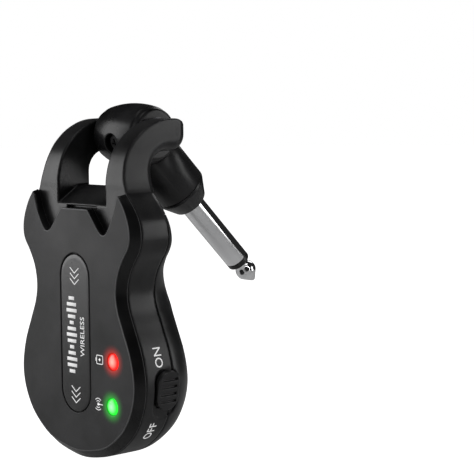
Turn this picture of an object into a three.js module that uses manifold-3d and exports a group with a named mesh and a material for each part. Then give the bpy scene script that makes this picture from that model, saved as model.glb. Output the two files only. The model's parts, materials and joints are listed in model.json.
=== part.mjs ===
// Wireless guitar transmitter with a swivelling quarter-inch plug.
//
// Millimetres. +X right, +Y away from the face, +Z up. The origin is the middle of the plug's seating
// shoulder, where the plug stands on the instrument's jack. The pieces are laid out from the face plane
// (y = 0) and the middle of the body (x = 0), and one group then moves them to that origin.
import * as THREE from 'three';
import { mergeVertices } from 'three/addons/utils/BufferGeometryUtils.js';
import Module from 'manifold-3d';

const wasm = await Module();
wasm.setup();

// ---------------------------------------------------------------- driving dimensions

const GAP = 0.3;                      // clearance between neighbouring pieces
const FAR = 60;                       // beyond the casing on every side

// Right half of the face, from its lowest point up to the horn corner (x, z).
const FACE_HALF = [
  [0, -32.3], [6.2, -31.5], [11.3, -30], [15.8, -27.1], [19, -23.9], [21.3, -19.8], [22.4, -15.6],
  [22.3, -11.4], [21, -6.3], [18.5, -0.7], [16.5, 4], [15.9, 8.3], [16.8, 12.8], [18.8, 16.5],
  [20.8, 19.3], [21.4, 21.8], [20.9, 25], [19.2, 28.8], [17.2, 31.4],
];
const HALF_STEPS = 34;                // straight lengths in half the outline
const COVER_DEPTH = 2.3;              // front cover, face to rim
const RIM = { width: 2, hornWidth: 0.8, taperFrom: 24, taperTo: 31.4 };
const NOTCH = [[16.9, 31.4], [15.6, 27.6], [13.9, 24.3], [12.4, 22.3], [11.3, 21.85], [9.9, 22.4],
  [7.8, 24.8], [5.3, 27.8]];          // horn corner to tab corner, right-hand notch (x, z)

const SHELL = { front: 2.6, parting: 10.7, wall: 1.8, deckTop: 19.5, deckDepth: 1.6, neck: 26.8 };
const BACK = { deep: 20.7, shallow: 13.3, neck: 12.4, slopeLow: 3, slopeHigh: 18.5, neckHigh: 28 };

const PIVOT = { y: 19.6, z: 45.6 };   // swivel axis, parallel to X
const ARM = {
  halfSlot: 9.5, slotFloor: 28.7, rampDepth: 8.6, rampTop: 33,
  outer: [[17.4, 32.9], [16.75, 34.9], [16.3, 36.9], [15.85, 40], [15.7, 43], [15.7, 51]],
  front: [[2.6, 34.5], [2.8, 36.8], [3.5, 39.3], [4.7, 41.8], [6.6, 44.3], [9.5, 46.8], [12.9, 48.6],
    [16, 49.45]],
  hornRadius: 4, throatRadius: 5.5, foot: 26,
};

const PLUG_DROP = 44.3;               // degrees below horizontal, as the plug is set
const HUB = { half: 8.7, midRadius: 7.9, endRadius: 6.7, bore: 2.8, screwHole: 2.7, screwDrop: 19 };
const HOUSING = { radius: 7.1, end: 19.75, wall: 1.4, bore: 3.6 };
const COLLAR = { start: 20.05, end: 25.6, noseRadius: 4.7, bore: 3.5 };
const SLEEVE = { radius: 3.175, bore: 2.35, start: 12.5, end: 48.3 };
const TIP = { start: 50.1, end: 57.75, ballRadius: 2.75 };
const ROD_RADIUS = 0.95;
const TRUNNION = { radius: 2.5, bore: 1.2, from: 5.2, to: 13.1 };
const WASHER = { bore: 2.8, radius: 4.3, from: 8.2, to: 9.1 };
const NUT = { radius: 5.3, bore: 3.5, from: 14.2, to: 16.4 };
const TAG = { radius: 5.2, from: 16.7, to: 17.3 };

const PLATE = { radius: 5.65, top: 16.6, bottom: -22.6, depth: 0.45, recess: 0.8 };
const LED = { radius: 1.95, redX: 14.6, redZ: -8.5, greenX: 14.1, greenZ: -19.5 };

const BOARD = { front: 4.6, back: 5.6, inset: 3.5, top: 25 };
const SWITCH = { z: -15.1, x: 24.35, y: 8.8, tilt: 8.5, halfWidth: 3.35, halfLength: 4.9, travel: 2 };
const PORT = { x: -20.85, y: 7.7, z: 26.4, tilt: 28.7, halfLength: 4.45, halfWidth: 1.6, depth: 7 };
const BOARD_SCREWS = [[15, 17.4], [-15, 17.4], [12, -25], [-12, -25]];
const LUG = { radius: 2.3, hole: 1.15, end: 8.5, halfWeb: 2, reach: 5 };
const CELL = { halfWidth: 9.5, y: 14.3, radius: 2.8, from: -20, length: 24 };
const LEAD = { radius: 0.55, channel: 1.05 };

const FINISH = {
  casing: { color: 0x232325, roughness: 0.5, metalness: 0 },
  face: { color: 0x48484a, roughness: 0.6, metalness: 0 },
  inlay: { color: 0x1a1a1c, roughness: 0.25, metalness: 0 },
  chrome: { color: 0xd9dadc, roughness: 0.12, metalness: 1 },
  steel: { color: 0xa8aaad, roughness: 0.35, metalness: 1 },
  blackResin: { color: 0x0c0c0d, roughness: 0.4, metalness: 0 },
  board: { color: 0x12502e, roughness: 0.6, metalness: 0 },
  redLens: { color: 0xff2a1c, roughness: 0.2, metalness: 0 },
  greenLens: { color: 0x1ddc3c, roughness: 0.2, metalness: 0 },
  ledBody: { color: 0xe8e6dc, roughness: 0.4, metalness: 0 },
  foil: { color: 0xb9bcc2, roughness: 0.45, metalness: 0.3 },
  foam: { color: 0x2e2e30, roughness: 0.95, metalness: 0 },
  ivory: { color: 0xe6dfc8, roughness: 0.5, metalness: 0 },
  redWire: { color: 0xb01c18, roughness: 0.5, metalness: 0 },
  blackWire: { color: 0x161616, roughness: 0.5, metalness: 0 },
  gold: { color: 0xc9a24a, roughness: 0.3, metalness: 1 },
};

// ---------------------------------------------------------------- solids and booleans

function toSolid(geometry) {
  const bare = geometry.clone();
  bare.deleteAttribute('normal');
  bare.deleteAttribute('uv');
  const merged = mergeVertices(bare, 1e-4);
  const mesh = new wasm.Mesh({
    numProp: 3,
    vertProperties: new Float32Array(merged.attributes.position.array),
    triVerts: new Uint32Array(merged.index.array),
  });
  return new wasm.Manifold(mesh);
}

function toGeometry(solid) {
  const mesh = solid.getMesh();
  const geometry = new THREE.BufferGeometry();
  geometry.setAttribute('position', new THREE.BufferAttribute(mesh.vertProperties, 3));
  geometry.setIndex(new THREE.BufferAttribute(mesh.triVerts, 1));
  geometry.computeVertexNormals();
  return geometry;
}

function shaped(base, { add = [], keep = [], cut = [] }) {
  let solid = toSolid(base);
  for (const piece of add) {
    solid = solid.add(toSolid(piece));
  }
  for (const piece of keep) {
    solid = solid.intersect(toSolid(piece));
  }
  for (const piece of cut) {
    solid = solid.subtract(toSolid(piece));
  }
  return toGeometry(solid);
}

// ---------------------------------------------------------------- outlines

const smooth = THREE.MathUtils.smoothstep;

function toVectors(points) {
  return points.map(([a, b]) => new THREE.Vector2(a, b));
}

function mirrored(half) {
  const left = half.filter((point) => point.x > 0).map((point) => new THREE.Vector2(-point.x, point.y));
  return [...left.reverse(), ...half];
}

// The face outline, counter-clockwise from the left horn round the bottom to the right horn.
function faceRing() {
  const curve = new THREE.SplineCurve(mirrored(toVectors(FACE_HALF)));
  const half = [];
  for (let i = 0; i <= HALF_STEPS; i += 1) {
    half.push(curve.getPointAt(0.5 + (0.5 * i) / HALF_STEPS));
  }
  half[0].x = 0;
  return mirrored(half);
}

// Moves every point of a ring along its outward normal by distance(point).
function offsetRing(ring, distance) {
  return ring.map((point, i) => {
    const before = ring[Math.max(i - 1, 0)];
    const after = ring[Math.min(i + 1, ring.length - 1)];
    const along = after.clone().sub(before).normalize();
    const outward = new THREE.Vector2(along.y, -along.x);
    return point.clone().addScaledVector(outward, distance(point));
  });
}

const FACE_RING = faceRing();
const RIM_RING = offsetRing(FACE_RING, ({ y }) =>
  THREE.MathUtils.lerp(RIM.width, RIM.hornWidth, smooth(y, RIM.taperFrom, RIM.taperTo)));

const insetRing = (depth) => offsetRing(RIM_RING, () => -depth);

// ---------------------------------------------------------------- basic solids

// A flat outline (x, z) carried along Y.
function alongY(points, from, to) {
  const options = { depth: to - from, bevelEnabled: false, curveSegments: 10 };
  const shape = points instanceof THREE.Shape ? points : new THREE.Shape(points);
  return new THREE.ExtrudeGeometry(shape, options).rotateX(Math.PI / 2).translate(0, to, 0);
}

// A flat outline (y, z) carried along X.
function alongX(points, from, to) {
  const options = { depth: to - from, bevelEnabled: false, curveSegments: 10 };
  const turn = new THREE.Matrix4().makeBasis(
    new THREE.Vector3(0, 1, 0),
    new THREE.Vector3(0, 0, 1),
    new THREE.Vector3(1, 0, 0),
  );
  const shape = points instanceof THREE.Shape ? points : new THREE.Shape(points);
  return new THREE.ExtrudeGeometry(shape, options).applyMatrix4(turn).translate(from, 0, 0);
}

function block(x0, x1, y0, y1, z0, z1) {
  const geometry = new THREE.BoxGeometry(x1 - x0, y1 - y0, z1 - z0);
  return geometry.translate((x0 + x1) / 2, (y0 + y1) / 2, (z0 + z1) / 2);
}

// A solid of revolution about Y; the profile lists (radius, y).
function turned(profile, segments = 28) {
  return new THREE.LatheGeometry(toVectors(profile), segments);
}

// A ring of revolution about Y, closed on itself.
function ring(inner, outer, from, to, segments = 24) {
  return turned([[inner, from], [outer, from], [outer, to], [inner, to], [inner, from]], segments);
}

function rod(radius, from, to, segments = 24) {
  return turned([[0, from], [radius, from], [radius, to], [0, to]], segments);
}

// The same, lying along X through the swivel axis.
function ontoPivot(geometry) {
  return geometry.rotateZ(-Math.PI / 2).translate(0, PIVOT.y, PIVOT.z);
}

// A straight-sided slot with round ends, long along the second axis.
function pillShape(halfWidth, low, high) {
  const shape = new THREE.Shape();
  shape.absarc(0, high - halfWidth, halfWidth, 0, Math.PI, false);
  shape.absarc(0, low + halfWidth, halfWidth, Math.PI, 2 * Math.PI, false);
  return shape;
}

// A closed skin through a stack of equal rings of Vector3, front to back.
function skin(rings) {
  const count = rings[0].length;
  const positions = rings.flat().flatMap((point) => [point.x, point.y, point.z]);
  const faces = [];
  for (let level = 0; level < rings.length - 1; level += 1) {
    for (let i = 0; i < count; i += 1) {
      const a = level * count + i;
      const b = level * count + ((i + 1) % count);
      faces.push(a, a + count, b, b, a + count, b + count);
    }
  }
  addStrips(faces, 0, count, false);
  addStrips(faces, (rings.length - 1) * count, count, true);
  const geometry = new THREE.BufferGeometry();
  geometry.setAttribute('position', new THREE.Float32BufferAttribute(positions, 3));
  geometry.setIndex(faces);
  geometry.computeVertexNormals();
  return geometry;
}

// Closes a left-right symmetric ring with level strips from side to side.
function addStrips(faces, start, count, flip) {
  for (let i = 0; i < (count - 1) / 2; i += 1) {
    const corners = [start + i, start + i + 1, start + count - 2 - i, start + count - 1 - i];
    const [a, b, c, d] = flip ? [...corners].reverse() : corners;
    if (i < (count - 3) / 2) {
      faces.push(a, b, c, a, c, d);
    } else {
      faces.push(...new Set([a, b, c, d]));
    }
  }
}

const lifted = (flat, depth) => flat.map((point) => new THREE.Vector3(point.x, depth(point), point.y));

// ---------------------------------------------------------------- casing

// Depth of the back at a height, shallow behind the neck and deep behind the battery.
function backDepth(z) {
  const slope = (BACK.deep - BACK.shallow) * smooth(z, BACK.slopeLow, BACK.slopeHigh);
  return BACK.deep - slope - (BACK.shallow - BACK.neck) * smooth(z, BACK.slopeHigh, BACK.neckHigh);
}

// The rounded back, moved inwards by the wall thickness for its hollow.
function backBowl(wall, front) {
  const steps = 6;
  const rings = [lifted(insetRing(wall), () => front)];
  for (let k = 0; k <= steps; k += 1) {
    const turn = (k / steps) * (Math.PI / 2);
    const radius = ({ y }) => Math.max(backDepth(y) - SHELL.parting - wall, 0.3);
    const flat = offsetRing(insetRing(wall), (point) => -radius(point) * (1 - Math.cos(turn)));
    const heights = insetRing(wall);
    rings.push(flat.map((point, i) =>
      new THREE.Vector3(point.x, SHELL.parting + GAP / 2 + radius(heights[i]) * Math.sin(turn), point.y)));
  }
  return skin(rings);
}

function backCover() {
  const above = block(-FAR, FAR, 0, FAR, SHELL.neck, FAR);
  const hollow = shaped(backBowl(SHELL.wall, SHELL.parting - 1), {
    cut: [block(-FAR, FAR, 0, FAR, SHELL.neck - SHELL.wall, FAR)],
  });
  return shaped(backBowl(0, SHELL.parting + 0.1), { cut: [above, hollow, ...switchOpenings()] });
}

function notchCutter() {
  const right = new THREE.SplineCurve(toVectors(NOTCH)).getPoints(16);
  const points = [new THREE.Vector2(17.9, 40), new THREE.Vector2(17.9, 32), ...right];
  return alongY(mirrored(points.reverse()), -1, COVER_DEPTH + 1);
}

function frontCover() {
  const body = skin([lifted(FACE_RING, () => 0), lifted(RIM_RING, () => COVER_DEPTH)]);
  const pocket = alongY(insetRing(4), 1.5, COVER_DEPTH + 1);
  const pocketTop = block(-FAR, FAR, 0, 10, 20, FAR);
  return shaped(body, {
    cut: [
      notchCutter(),
      shaped(pocket, { cut: [pocketTop, block(-6.6, 6.6, 0, 5, -24, 18)] }),
      alongY(pillShape(PLATE.radius + GAP, PLATE.bottom - GAP, PLATE.top + GAP), -1, PLATE.recess),
      rod(LED.radius + GAP, -1, 4).translate(LED.redX, 0, LED.redZ),
      rod(LED.radius + GAP, -1, 4).translate(LED.greenX, 0, LED.greenZ),
    ],
  });
}

function namePlate() {
  return alongY(pillShape(PLATE.radius, PLATE.bottom, PLATE.top), 0, PLATE.depth);
}

// Side view of the fork: front edge up and back over to the horn, then the throat down to the foot.
function armProfile() {
  const shape = new THREE.Shape();
  shape.moveTo(SHELL.front, ARM.foot);
  shape.lineTo(...ARM.front[0]);
  shape.splineThru(toVectors(ARM.front.slice(1)));
  shape.absarc(PIVOT.y + 0.2, PIVOT.z + 0.1, ARM.hornRadius, Math.PI / 2, -Math.PI / 2, true);
  const throat = { y: BACK.neck + ARM.throatRadius, z: PIVOT.z + 0.1 - ARM.hornRadius - ARM.throatRadius };
  shape.absarc(throat.y, throat.z, ARM.throatRadius, Math.PI / 2, Math.PI, false);
  shape.lineTo(BACK.neck, SHELL.neck + GAP);
  shape.lineTo(SHELL.parting - GAP / 2, SHELL.neck + GAP);
  shape.lineTo(SHELL.parting - GAP / 2, ARM.foot);
  return shape;
}

function fork() {
  const right = RIM_RING.filter((point) => point.x > 0 && point.y > ARM.foot - 3);
  const front = alongY(mirrored([...right, ...toVectors(ARM.outer)]), SHELL.front, 40);
  const slot = toVectors([[0, ARM.slotFloor], [SHELL.front, ARM.slotFloor], [ARM.rampDepth, ARM.rampTop],
    [FAR, ARM.rampTop], [FAR, FAR], [0, FAR]]);
  return shaped(alongX(armProfile(), -30, 30), {
    keep: [front],
    cut: [alongX(slot, -ARM.halfSlot, ARM.halfSlot)],
  });
}

// Lug on the inside of the wall that takes a board screw.
function boardLug(x, z) {
  const from = BOARD.back + GAP;
  const reach = x + Math.sign(x) * LUG.reach;
  const boss = rod(LUG.radius, from, LUG.end, 16).translate(x, 0, z);
  const sides = [Math.min(x, reach), Math.max(x, reach)];
  const web = block(...sides, from, LUG.end, z - LUG.halfWeb, z + LUG.halfWeb);
  return shaped(boss, { add: [web] });
}

function leadRoute() {
  return new THREE.CatmullRomCurve3([
    new THREE.Vector3(13, 7.2, 23.5),
    new THREE.Vector3(13.4, 7, 29),
    new THREE.Vector3(13.5, 7.5, 35),
    new THREE.Vector3(13.5, 8.8, 40),
    new THREE.Vector3(13.6, 12.4, 44),
    new THREE.Vector3(13.7, 18, 45.6),
  ]);
}

// A round tube along a route.
function tube(route, radius, steps, sides = 8) {
  const section = new THREE.Shape(new THREE.EllipseCurve(0, 0, radius, radius).getPoints(sides).slice(0, -1));
  return new THREE.ExtrudeGeometry(section, { steps, bevelEnabled: false, extrudePath: route });
}

function mainShell() {
  const band = alongY(RIM_RING, SHELL.front, SHELL.parting - GAP / 2);
  const inner = insetRing(SHELL.wall);
  const aboveCavity = block(-FAR, FAR, 0, FAR, SHELL.neck - SHELL.wall, FAR);
  const cavity = shaped(alongY(inner, SHELL.front + SHELL.deckDepth, 12), { cut: [aboveCavity] });
  const mouth = shaped(alongY(insetRing(2.6), 0, 5), { cut: [block(-FAR, FAR, -1, 9, SHELL.deckTop, FAR)] });
  const hollowed = shaped(band, { add: [fork()], cut: [cavity, mouth] });
  const screwHoles = BOARD_SCREWS.map(([x, z]) => rod(LUG.hole, 4, 12, 12).translate(x, 0, z));
  const bore = rod(HUB.bore, -14.5, 14.5);
  return shaped(hollowed, {
    add: BOARD_SCREWS.map(([x, z]) => boardLug(x, z)),
    cut: [...screwHoles, ontoPivot(bore), tube(leadRoute(), LEAD.channel, 14), ...switchOpenings(), ...portOpenings()],
  });
}

// ---------------------------------------------------------------- power switch

// Switch frame: X out of the wall, Z up along it, at the knob's middle in the ON place.
function atSwitch(geometry) {
  const turn = THREE.MathUtils.degToRad(SWITCH.tilt);
  return geometry.rotateY(turn).translate(SWITCH.x, SWITCH.y, SWITCH.z);
}

function pillBlock(halfWidth, low, high, from, to) {
  return alongX(pillShape(halfWidth, low, high), from, to);
}

function switchOpenings() {
  const { halfWidth, halfLength, travel } = SWITCH;
  const pocket = pillBlock(halfWidth + 0.4, -halfLength - travel - 0.5, halfLength + 0.4, -1.05, 4);
  const window = block(-6, 1, -1.9, 1.9, -2.4 - travel, 2.4);
  return [atSwitch(pocket), atSwitch(window)];
}

function switchKnob() {
  const { halfWidth, halfLength } = SWITCH;
  const cap = pillBlock(halfWidth, -halfLength, halfLength, -0.65, 0.75);
  const stem = block(-3.6, 0, -1.5, 1.5, -2, 2);
  const grooves = [-2.7, -0.9, 0.9, 2.7].map((z) => block(0.3, 2, -2.3, 2.3, z - 0.3, z + 0.3));
  const leverPocket = block(-5, -2.2, -0.9, 0.9, -1.1, 1.1);
  return atSwitch(shaped(cap, { add: [stem], cut: [...grooves, leverPocket] }));
}

function switchLever() {
  return atSwitch(block(-6.4, -2.6, -0.55, 0.55, -0.75, 0.75));
}

function switchBody() {
  const { travel } = SWITCH;
  const slot = block(-6.8, 0, -0.9, 0.9, -1.1 - travel, 1.1);
  const legs = block(-8.4, -5.8, -3.2, 0, -3.4, -2.6);
  return atSwitch(shaped(block(-9.2, -4.6, -2.8, 2.4, -5, 4), { add: [legs], cut: [slot] }));
}

// ---------------------------------------------------------------- charging port

// Port frame: X out of the left wall, Z up along it, at the middle of the mouth.
function atPort(geometry) {
  const turn = THREE.MathUtils.degToRad(PORT.tilt);
  return geometry.rotateY(Math.PI + turn).translate(PORT.x, PORT.y, PORT.z);
}

function portOpenings() {
  const { halfLength, halfWidth } = PORT;
  const mouth = pillBlock(halfWidth + GAP, -halfLength - GAP, halfLength + GAP, -12, 4);
  const recess = pillBlock(halfWidth + 0.8, -halfLength - 0.8, halfLength + 0.8, -0.5, 4);
  return [atPort(mouth), atPort(recess)];
}

function portShell() {
  const { halfLength, halfWidth, depth } = PORT;
  const outer = pillBlock(halfWidth, -halfLength, halfLength, -depth, -0.5);
  const inner = pillBlock(halfWidth - 0.35, -halfLength + 0.35, halfLength - 0.35, -depth + 0.8, 2);
  return atPort(shaped(outer, { cut: [inner, block(-depth - 1, 0, -0.7, 0.7, -3.4, 3.4)] }));
}

function portTongue() {
  return atPort(block(-PORT.depth - 0.4, -1.6, -0.35, 0.35, -3, 3));
}

// ---------------------------------------------------------------- electronics

function circuitBoard() {
  const plate = shaped(alongY(insetRing(BOARD.inset), BOARD.front, BOARD.back), {
    cut: [block(-FAR, FAR, 0, 10, BOARD.top, FAR)],
  });
  const holes = BOARD_SCREWS.map(([x, z]) => rod(LUG.hole, 4, 7, 12).translate(x, 0, z));
  return shaped(plate, { cut: holes });
}

function boardScrew(x, z) {
  const profile = [[0, 3.1], [1.5, 3.3], [1.5, 4.3], [0.8, 4.3], [0.8, 8.1], [0, 8.1]];
  return turned(profile, 16).translate(x, 0, z);
}

function ledLens(x, z) {
  const { radius } = LED;
  const profile = [[0, -0.45], [0.9, -0.35], [1.6, -0.1], [radius, 0.25], [radius, 2.6], [2.6, 2.6],
    [2.6, 3.1], [0, 3.1]];
  return turned(profile, 20).translate(x, 0, z);
}

function ledChip(x, z) {
  return block(x - 1, x + 1, 3.5, 4.3, z - 0.6, z + 0.6);
}

function batteryCell() {
  const { halfWidth, y, radius, from, length } = CELL;
  const cell = new THREE.Shape();
  cell.absarc(-halfWidth, y, radius, Math.PI / 2, (3 * Math.PI) / 2, false);
  cell.absarc(halfWidth, y, radius, -Math.PI / 2, Math.PI / 2, false);
  return new THREE.ExtrudeGeometry(cell, { depth: length, bevelEnabled: false, curveSegments: 8 })
    .translate(0, 0, from);
}

function batteryLead(x, toX) {
  const route = new THREE.CatmullRomCurve3([
    new THREE.Vector3(x, 8, 12.2),
    new THREE.Vector3(x, 9.6, 11),
    new THREE.Vector3((x + toX) / 2, 13, 8.2),
    new THREE.Vector3(toX, 14.3, 4.4),
  ]);
  return tube(route, LEAD.radius, 8, 6);
}

// ---------------------------------------------------------------- plug

// Crowned barrel about X, larger by `extra` all over.
function barrel(extra, half) {
  const steps = 6;
  const profile = [[0, -half]];
  for (let i = 0; i <= steps; i += 1) {
    const x = -half + (2 * half * i) / steps;
    const fall = (HUB.midRadius - HUB.endRadius) * (x / HUB.half) ** 2;
    profile.push([HUB.midRadius - fall + extra, x]);
  }
  profile.push([0, half]);
  return turned(profile, 32).rotateZ(-Math.PI / 2);
}

// The hub's screw hole points forward and down, while the plug's own axis is +Y in the plug's group.
function alongHubScrew(geometry) {
  const turn = THREE.MathUtils.degToRad(180 + HUB.screwDrop + PLUG_DROP);
  return geometry.rotateX(turn);
}

function plugHub() {
  const seats = [-1, 1].map((side) =>
    ring(0.2, 4.6, 7.9, 10).rotateZ(side > 0 ? -Math.PI / 2 : Math.PI / 2));
  return shaped(barrel(0, HUB.half), {
    cut: [
      rod(HUB.bore, -12, 12).rotateZ(-Math.PI / 2),
      rod(3, 0, 12),
      alongHubScrew(rod(HUB.screwHole, 5, 12)),
      alongHubScrew(rod(1.1, 2, 7, 12)),
      ...seats,
    ],
  });
}

function hubScrew() {
  const head = turned([[0, 3.2], [0.8, 3.2], [0.8, 5.3], [2.3, 5.3], [2.3, 6.1], [1.7, 6.7], [0, 6.7]], 24);
  const cross = [block(-1.3, 1.3, 6, 8, -0.25, 0.25), block(-0.25, 0.25, 6, 8, -1.3, 1.3)];
  return alongHubScrew(shaped(head, { cut: cross }));
}

function trunnion(side) {
  const { radius, bore, from, to } = TRUNNION;
  return ring(bore, radius, from, to).rotateZ(side > 0 ? -Math.PI / 2 : Math.PI / 2);
}

function frictionWasher(side) {
  return ring(WASHER.bore, WASHER.radius, WASHER.from, WASHER.to).rotateZ(side > 0 ? -Math.PI / 2 : Math.PI / 2);
}

function plugHousing() {
  const { radius, end, wall, bore } = HOUSING;
  const inner = radius - wall;
  const cup = turned([[inner, 2], [radius, 2], [radius, end - 0.15], [radius - 0.15, end], [bore, end],
    [bore, end - 2.1], [inner, end - 2.1], [inner, 2]]);
  return shaped(cup, { cut: [barrel(GAP, 10)] });
}

function coneCollar() {
  const { start, end, noseRadius, bore } = COLLAR;
  const full = HOUSING.radius;
  return turned([[bore, start], [full - 0.15, start], [full, start + 0.15], [full - 0.1, start + 0.7],
    [noseRadius + 0.15, end - 0.35], [noseRadius - 0.2, end], [bore, end], [bore, start]]);
}

function plugSleeve() {
  const { radius, bore, start, end } = SLEEVE;
  return turned([[bore, start], [radius - 0.2, start], [radius, start + 0.3], [radius, end - 0.15],
    [radius - 0.15, end], [bore, end], [bore, start]]);
}

function insulator() {
  const flange = SLEEVE.end + GAP;
  const end = TIP.start - GAP;
  return turned([[1.3, 11.5], [2, 11.5], [2, flange], [SLEEVE.radius - 0.05, flange],
    [SLEEVE.radius - 0.05, end], [1.3, end], [1.3, 11.5]]);
}

function plugTip() {
  const { start, end, ballRadius } = TIP;
  return turned([[0, start + 2.1], [1.3, start + 2.1], [1.3, start], [2.2, start], [2, start + 0.5],
    [2, start + 1.5], [2.3, start + 1.9], [ballRadius - 0.1, start + 2.7], [ballRadius, start + 3.2],
    [ballRadius, start + 3.9], [ballRadius - 0.25, start + 4.5], [0.9, end - 0.25], [0.5, end], [0, end]]);
}

function sleeveNut() {
  const shape = new THREE.Shape(new THREE.EllipseCurve(0, 0, NUT.radius, NUT.radius).getPoints(6).slice(0, -1));
  return shaped(alongY(shape, NUT.from, NUT.to), { cut: [rod(NUT.bore, NUT.from - 1, NUT.to + 1)] });
}

// ---------------------------------------------------------------- assembly

function piece(name, geometry, finish) {
  const material = new THREE.MeshStandardMaterial({ ...FINISH[finish], flatShading: true });
  const mesh = new THREE.Mesh(geometry, material);
  mesh.name = name;
  return mesh;
}

function casingGroup() {
  const group = new THREE.Group();
  group.add(
    piece('front_cover', frontCover(), 'face'),
    piece('main_shell', mainShell(), 'casing'),
    piece('back_cover', backCover(), 'casing'),
    piece('name_plate', namePlate(), 'inlay'),
    piece('battery_led_lens', ledLens(LED.redX, LED.redZ), 'redLens'),
    piece('signal_led_lens', ledLens(LED.greenX, LED.greenZ), 'greenLens'),
  );
  return group;
}

function electronicsGroup() {
  const group = new THREE.Group();
  group.add(
    piece('battery_led_chip', ledChip(LED.redX, LED.redZ), 'ledBody'),
    piece('signal_led_chip', ledChip(LED.greenX, LED.greenZ), 'ledBody'),
    piece('circuit_board', circuitBoard(), 'board'),
    piece('radio_shield', block(-9, 7, BOARD.back + GAP, 8.3, -8, 8), 'steel'),
    piece('antenna_strip', block(-8, 8, BOARD.back + GAP, 6.7, -28.6, -26), 'gold'),
    piece('battery_socket', block(-10.4, -5.2, BOARD.back + GAP, 9.6, 12.6, 16.4), 'ivory'),
    piece('battery_lead_red', batteryLead(-8.8, -6.5), 'redWire'),
    piece('battery_lead_black', batteryLead(-6.8, -4), 'blackWire'),
    piece('battery_cell', batteryCell(), 'foil'),
    piece('battery_pad', block(-9.5, 9.5, 9.6, 11.1, -18, 2), 'foam'),
    piece('charge_port_shell', portShell(), 'steel'),
    piece('charge_port_tongue', portTongue(), 'blackResin'),
    piece('slide_switch_body', switchBody(), 'steel'),
    piece('audio_lead', tube(leadRoute(), LEAD.radius, 14, 6), 'blackWire'),
  );
  BOARD_SCREWS.forEach(([x, z], i) => {
    group.add(piece(`board_screw_${i + 1}`, boardScrew(x, z), 'steel'));
  });
  return group;
}

function switchGroup() {
  const group = new THREE.Group();
  group.add(piece('switch_knob', switchKnob(), 'casing'));
  group.add(piece('switch_lever', switchLever(), 'blackResin'));
  return group;
}

// The plug's own axis is +Y here, from the swivel axis; the group turns it down to its set angle.
function plugGroup() {
  const group = new THREE.Group();
  group.position.set(0, PIVOT.y, PIVOT.z);
  group.rotation.x = -THREE.MathUtils.degToRad(PLUG_DROP);
  group.add(
    piece('plug_hub', plugHub(), 'casing'),
    piece('hub_screw', hubScrew(), 'steel'),
    piece('left_trunnion', trunnion(-1), 'steel'),
    piece('right_trunnion', trunnion(1), 'steel'),
    piece('left_friction_washer', frictionWasher(-1), 'steel'),
    piece('right_friction_washer', frictionWasher(1), 'steel'),
    piece('plug_housing', plugHousing(), 'casing'),
    piece('cone_collar', coneCollar(), 'casing'),
    piece('plug_sleeve', plugSleeve(), 'chrome'),
    piece('sleeve_nut', sleeveNut(), 'steel'),
    piece('ground_tag', ring(NUT.bore, TAG.radius, TAG.from, TAG.to), 'gold'),
    piece('insulator', insulator(), 'blackResin'),
    piece('centre_rod', rod(ROD_RADIUS, 10, 51.8, 16), 'gold'),
    piece('plug_tip', plugTip(), 'chrome'),
  );
  return group;
}

const drop = THREE.MathUtils.degToRad(PLUG_DROP);
const shoulder = new THREE.Vector3(
  0,
  PIVOT.y + COLLAR.end * Math.cos(drop),
  PIVOT.z - COLLAR.end * Math.sin(drop),
);

const layout = new THREE.Group();
layout.position.copy(shoulder).negate();
layout.add(casingGroup(), electronicsGroup(), switchGroup(), plugGroup());

const transmitter = new THREE.Group();
transmitter.add(layout);

export default transmitter;
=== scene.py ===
"""Visual model of a guitar transmitter: a guitar-shaped casing that swings on a quarter-inch plug.

Sizes are millimetres, measured as the casing's maker would draw them: x from the casing's middle, y back
from its face and z up. `seat` moves them into the row frame, whose origin is the plug's shoulder.
"""
import json
import logging
import math
from dataclasses import dataclass
from enum import Enum
from typing import Callable, Optional, Sequence

import bmesh
import bpy
import numpy as np
from mathutils import Matrix, Vector
from mathutils.geometry import tessellate_polygon


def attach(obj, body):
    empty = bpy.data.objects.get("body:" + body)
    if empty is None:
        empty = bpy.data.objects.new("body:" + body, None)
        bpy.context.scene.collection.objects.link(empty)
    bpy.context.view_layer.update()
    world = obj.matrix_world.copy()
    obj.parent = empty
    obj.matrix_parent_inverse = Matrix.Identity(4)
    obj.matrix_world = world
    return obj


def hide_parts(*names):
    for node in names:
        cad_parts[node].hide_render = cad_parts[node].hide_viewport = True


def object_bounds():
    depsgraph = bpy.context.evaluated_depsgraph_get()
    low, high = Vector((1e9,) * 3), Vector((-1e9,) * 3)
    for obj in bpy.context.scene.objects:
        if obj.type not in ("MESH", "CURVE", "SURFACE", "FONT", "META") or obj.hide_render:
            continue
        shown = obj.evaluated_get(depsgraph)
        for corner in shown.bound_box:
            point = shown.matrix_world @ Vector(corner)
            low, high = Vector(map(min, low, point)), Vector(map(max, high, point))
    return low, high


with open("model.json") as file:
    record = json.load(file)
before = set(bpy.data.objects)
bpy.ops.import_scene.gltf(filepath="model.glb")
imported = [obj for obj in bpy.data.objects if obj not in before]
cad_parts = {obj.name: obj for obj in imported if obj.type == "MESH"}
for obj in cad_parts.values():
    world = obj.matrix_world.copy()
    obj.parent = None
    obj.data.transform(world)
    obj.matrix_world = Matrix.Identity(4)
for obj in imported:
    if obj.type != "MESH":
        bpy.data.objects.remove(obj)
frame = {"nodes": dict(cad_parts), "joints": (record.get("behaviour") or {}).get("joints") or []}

LOG = logging.getLogger("transmitter")
CAD_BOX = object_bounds()
MM = 0.001

Array = np.ndarray
Object = bpy.types.Object
Field = Callable[[Array, Array, Array], Array]


class Body(Enum):
    """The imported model's moving bodies."""

    CASING = "casing"
    PLUG = "plug"
    SWITCH = "power_switch"


# ---------------------------------------------------------------- shared dimensions, in millimetres


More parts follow.
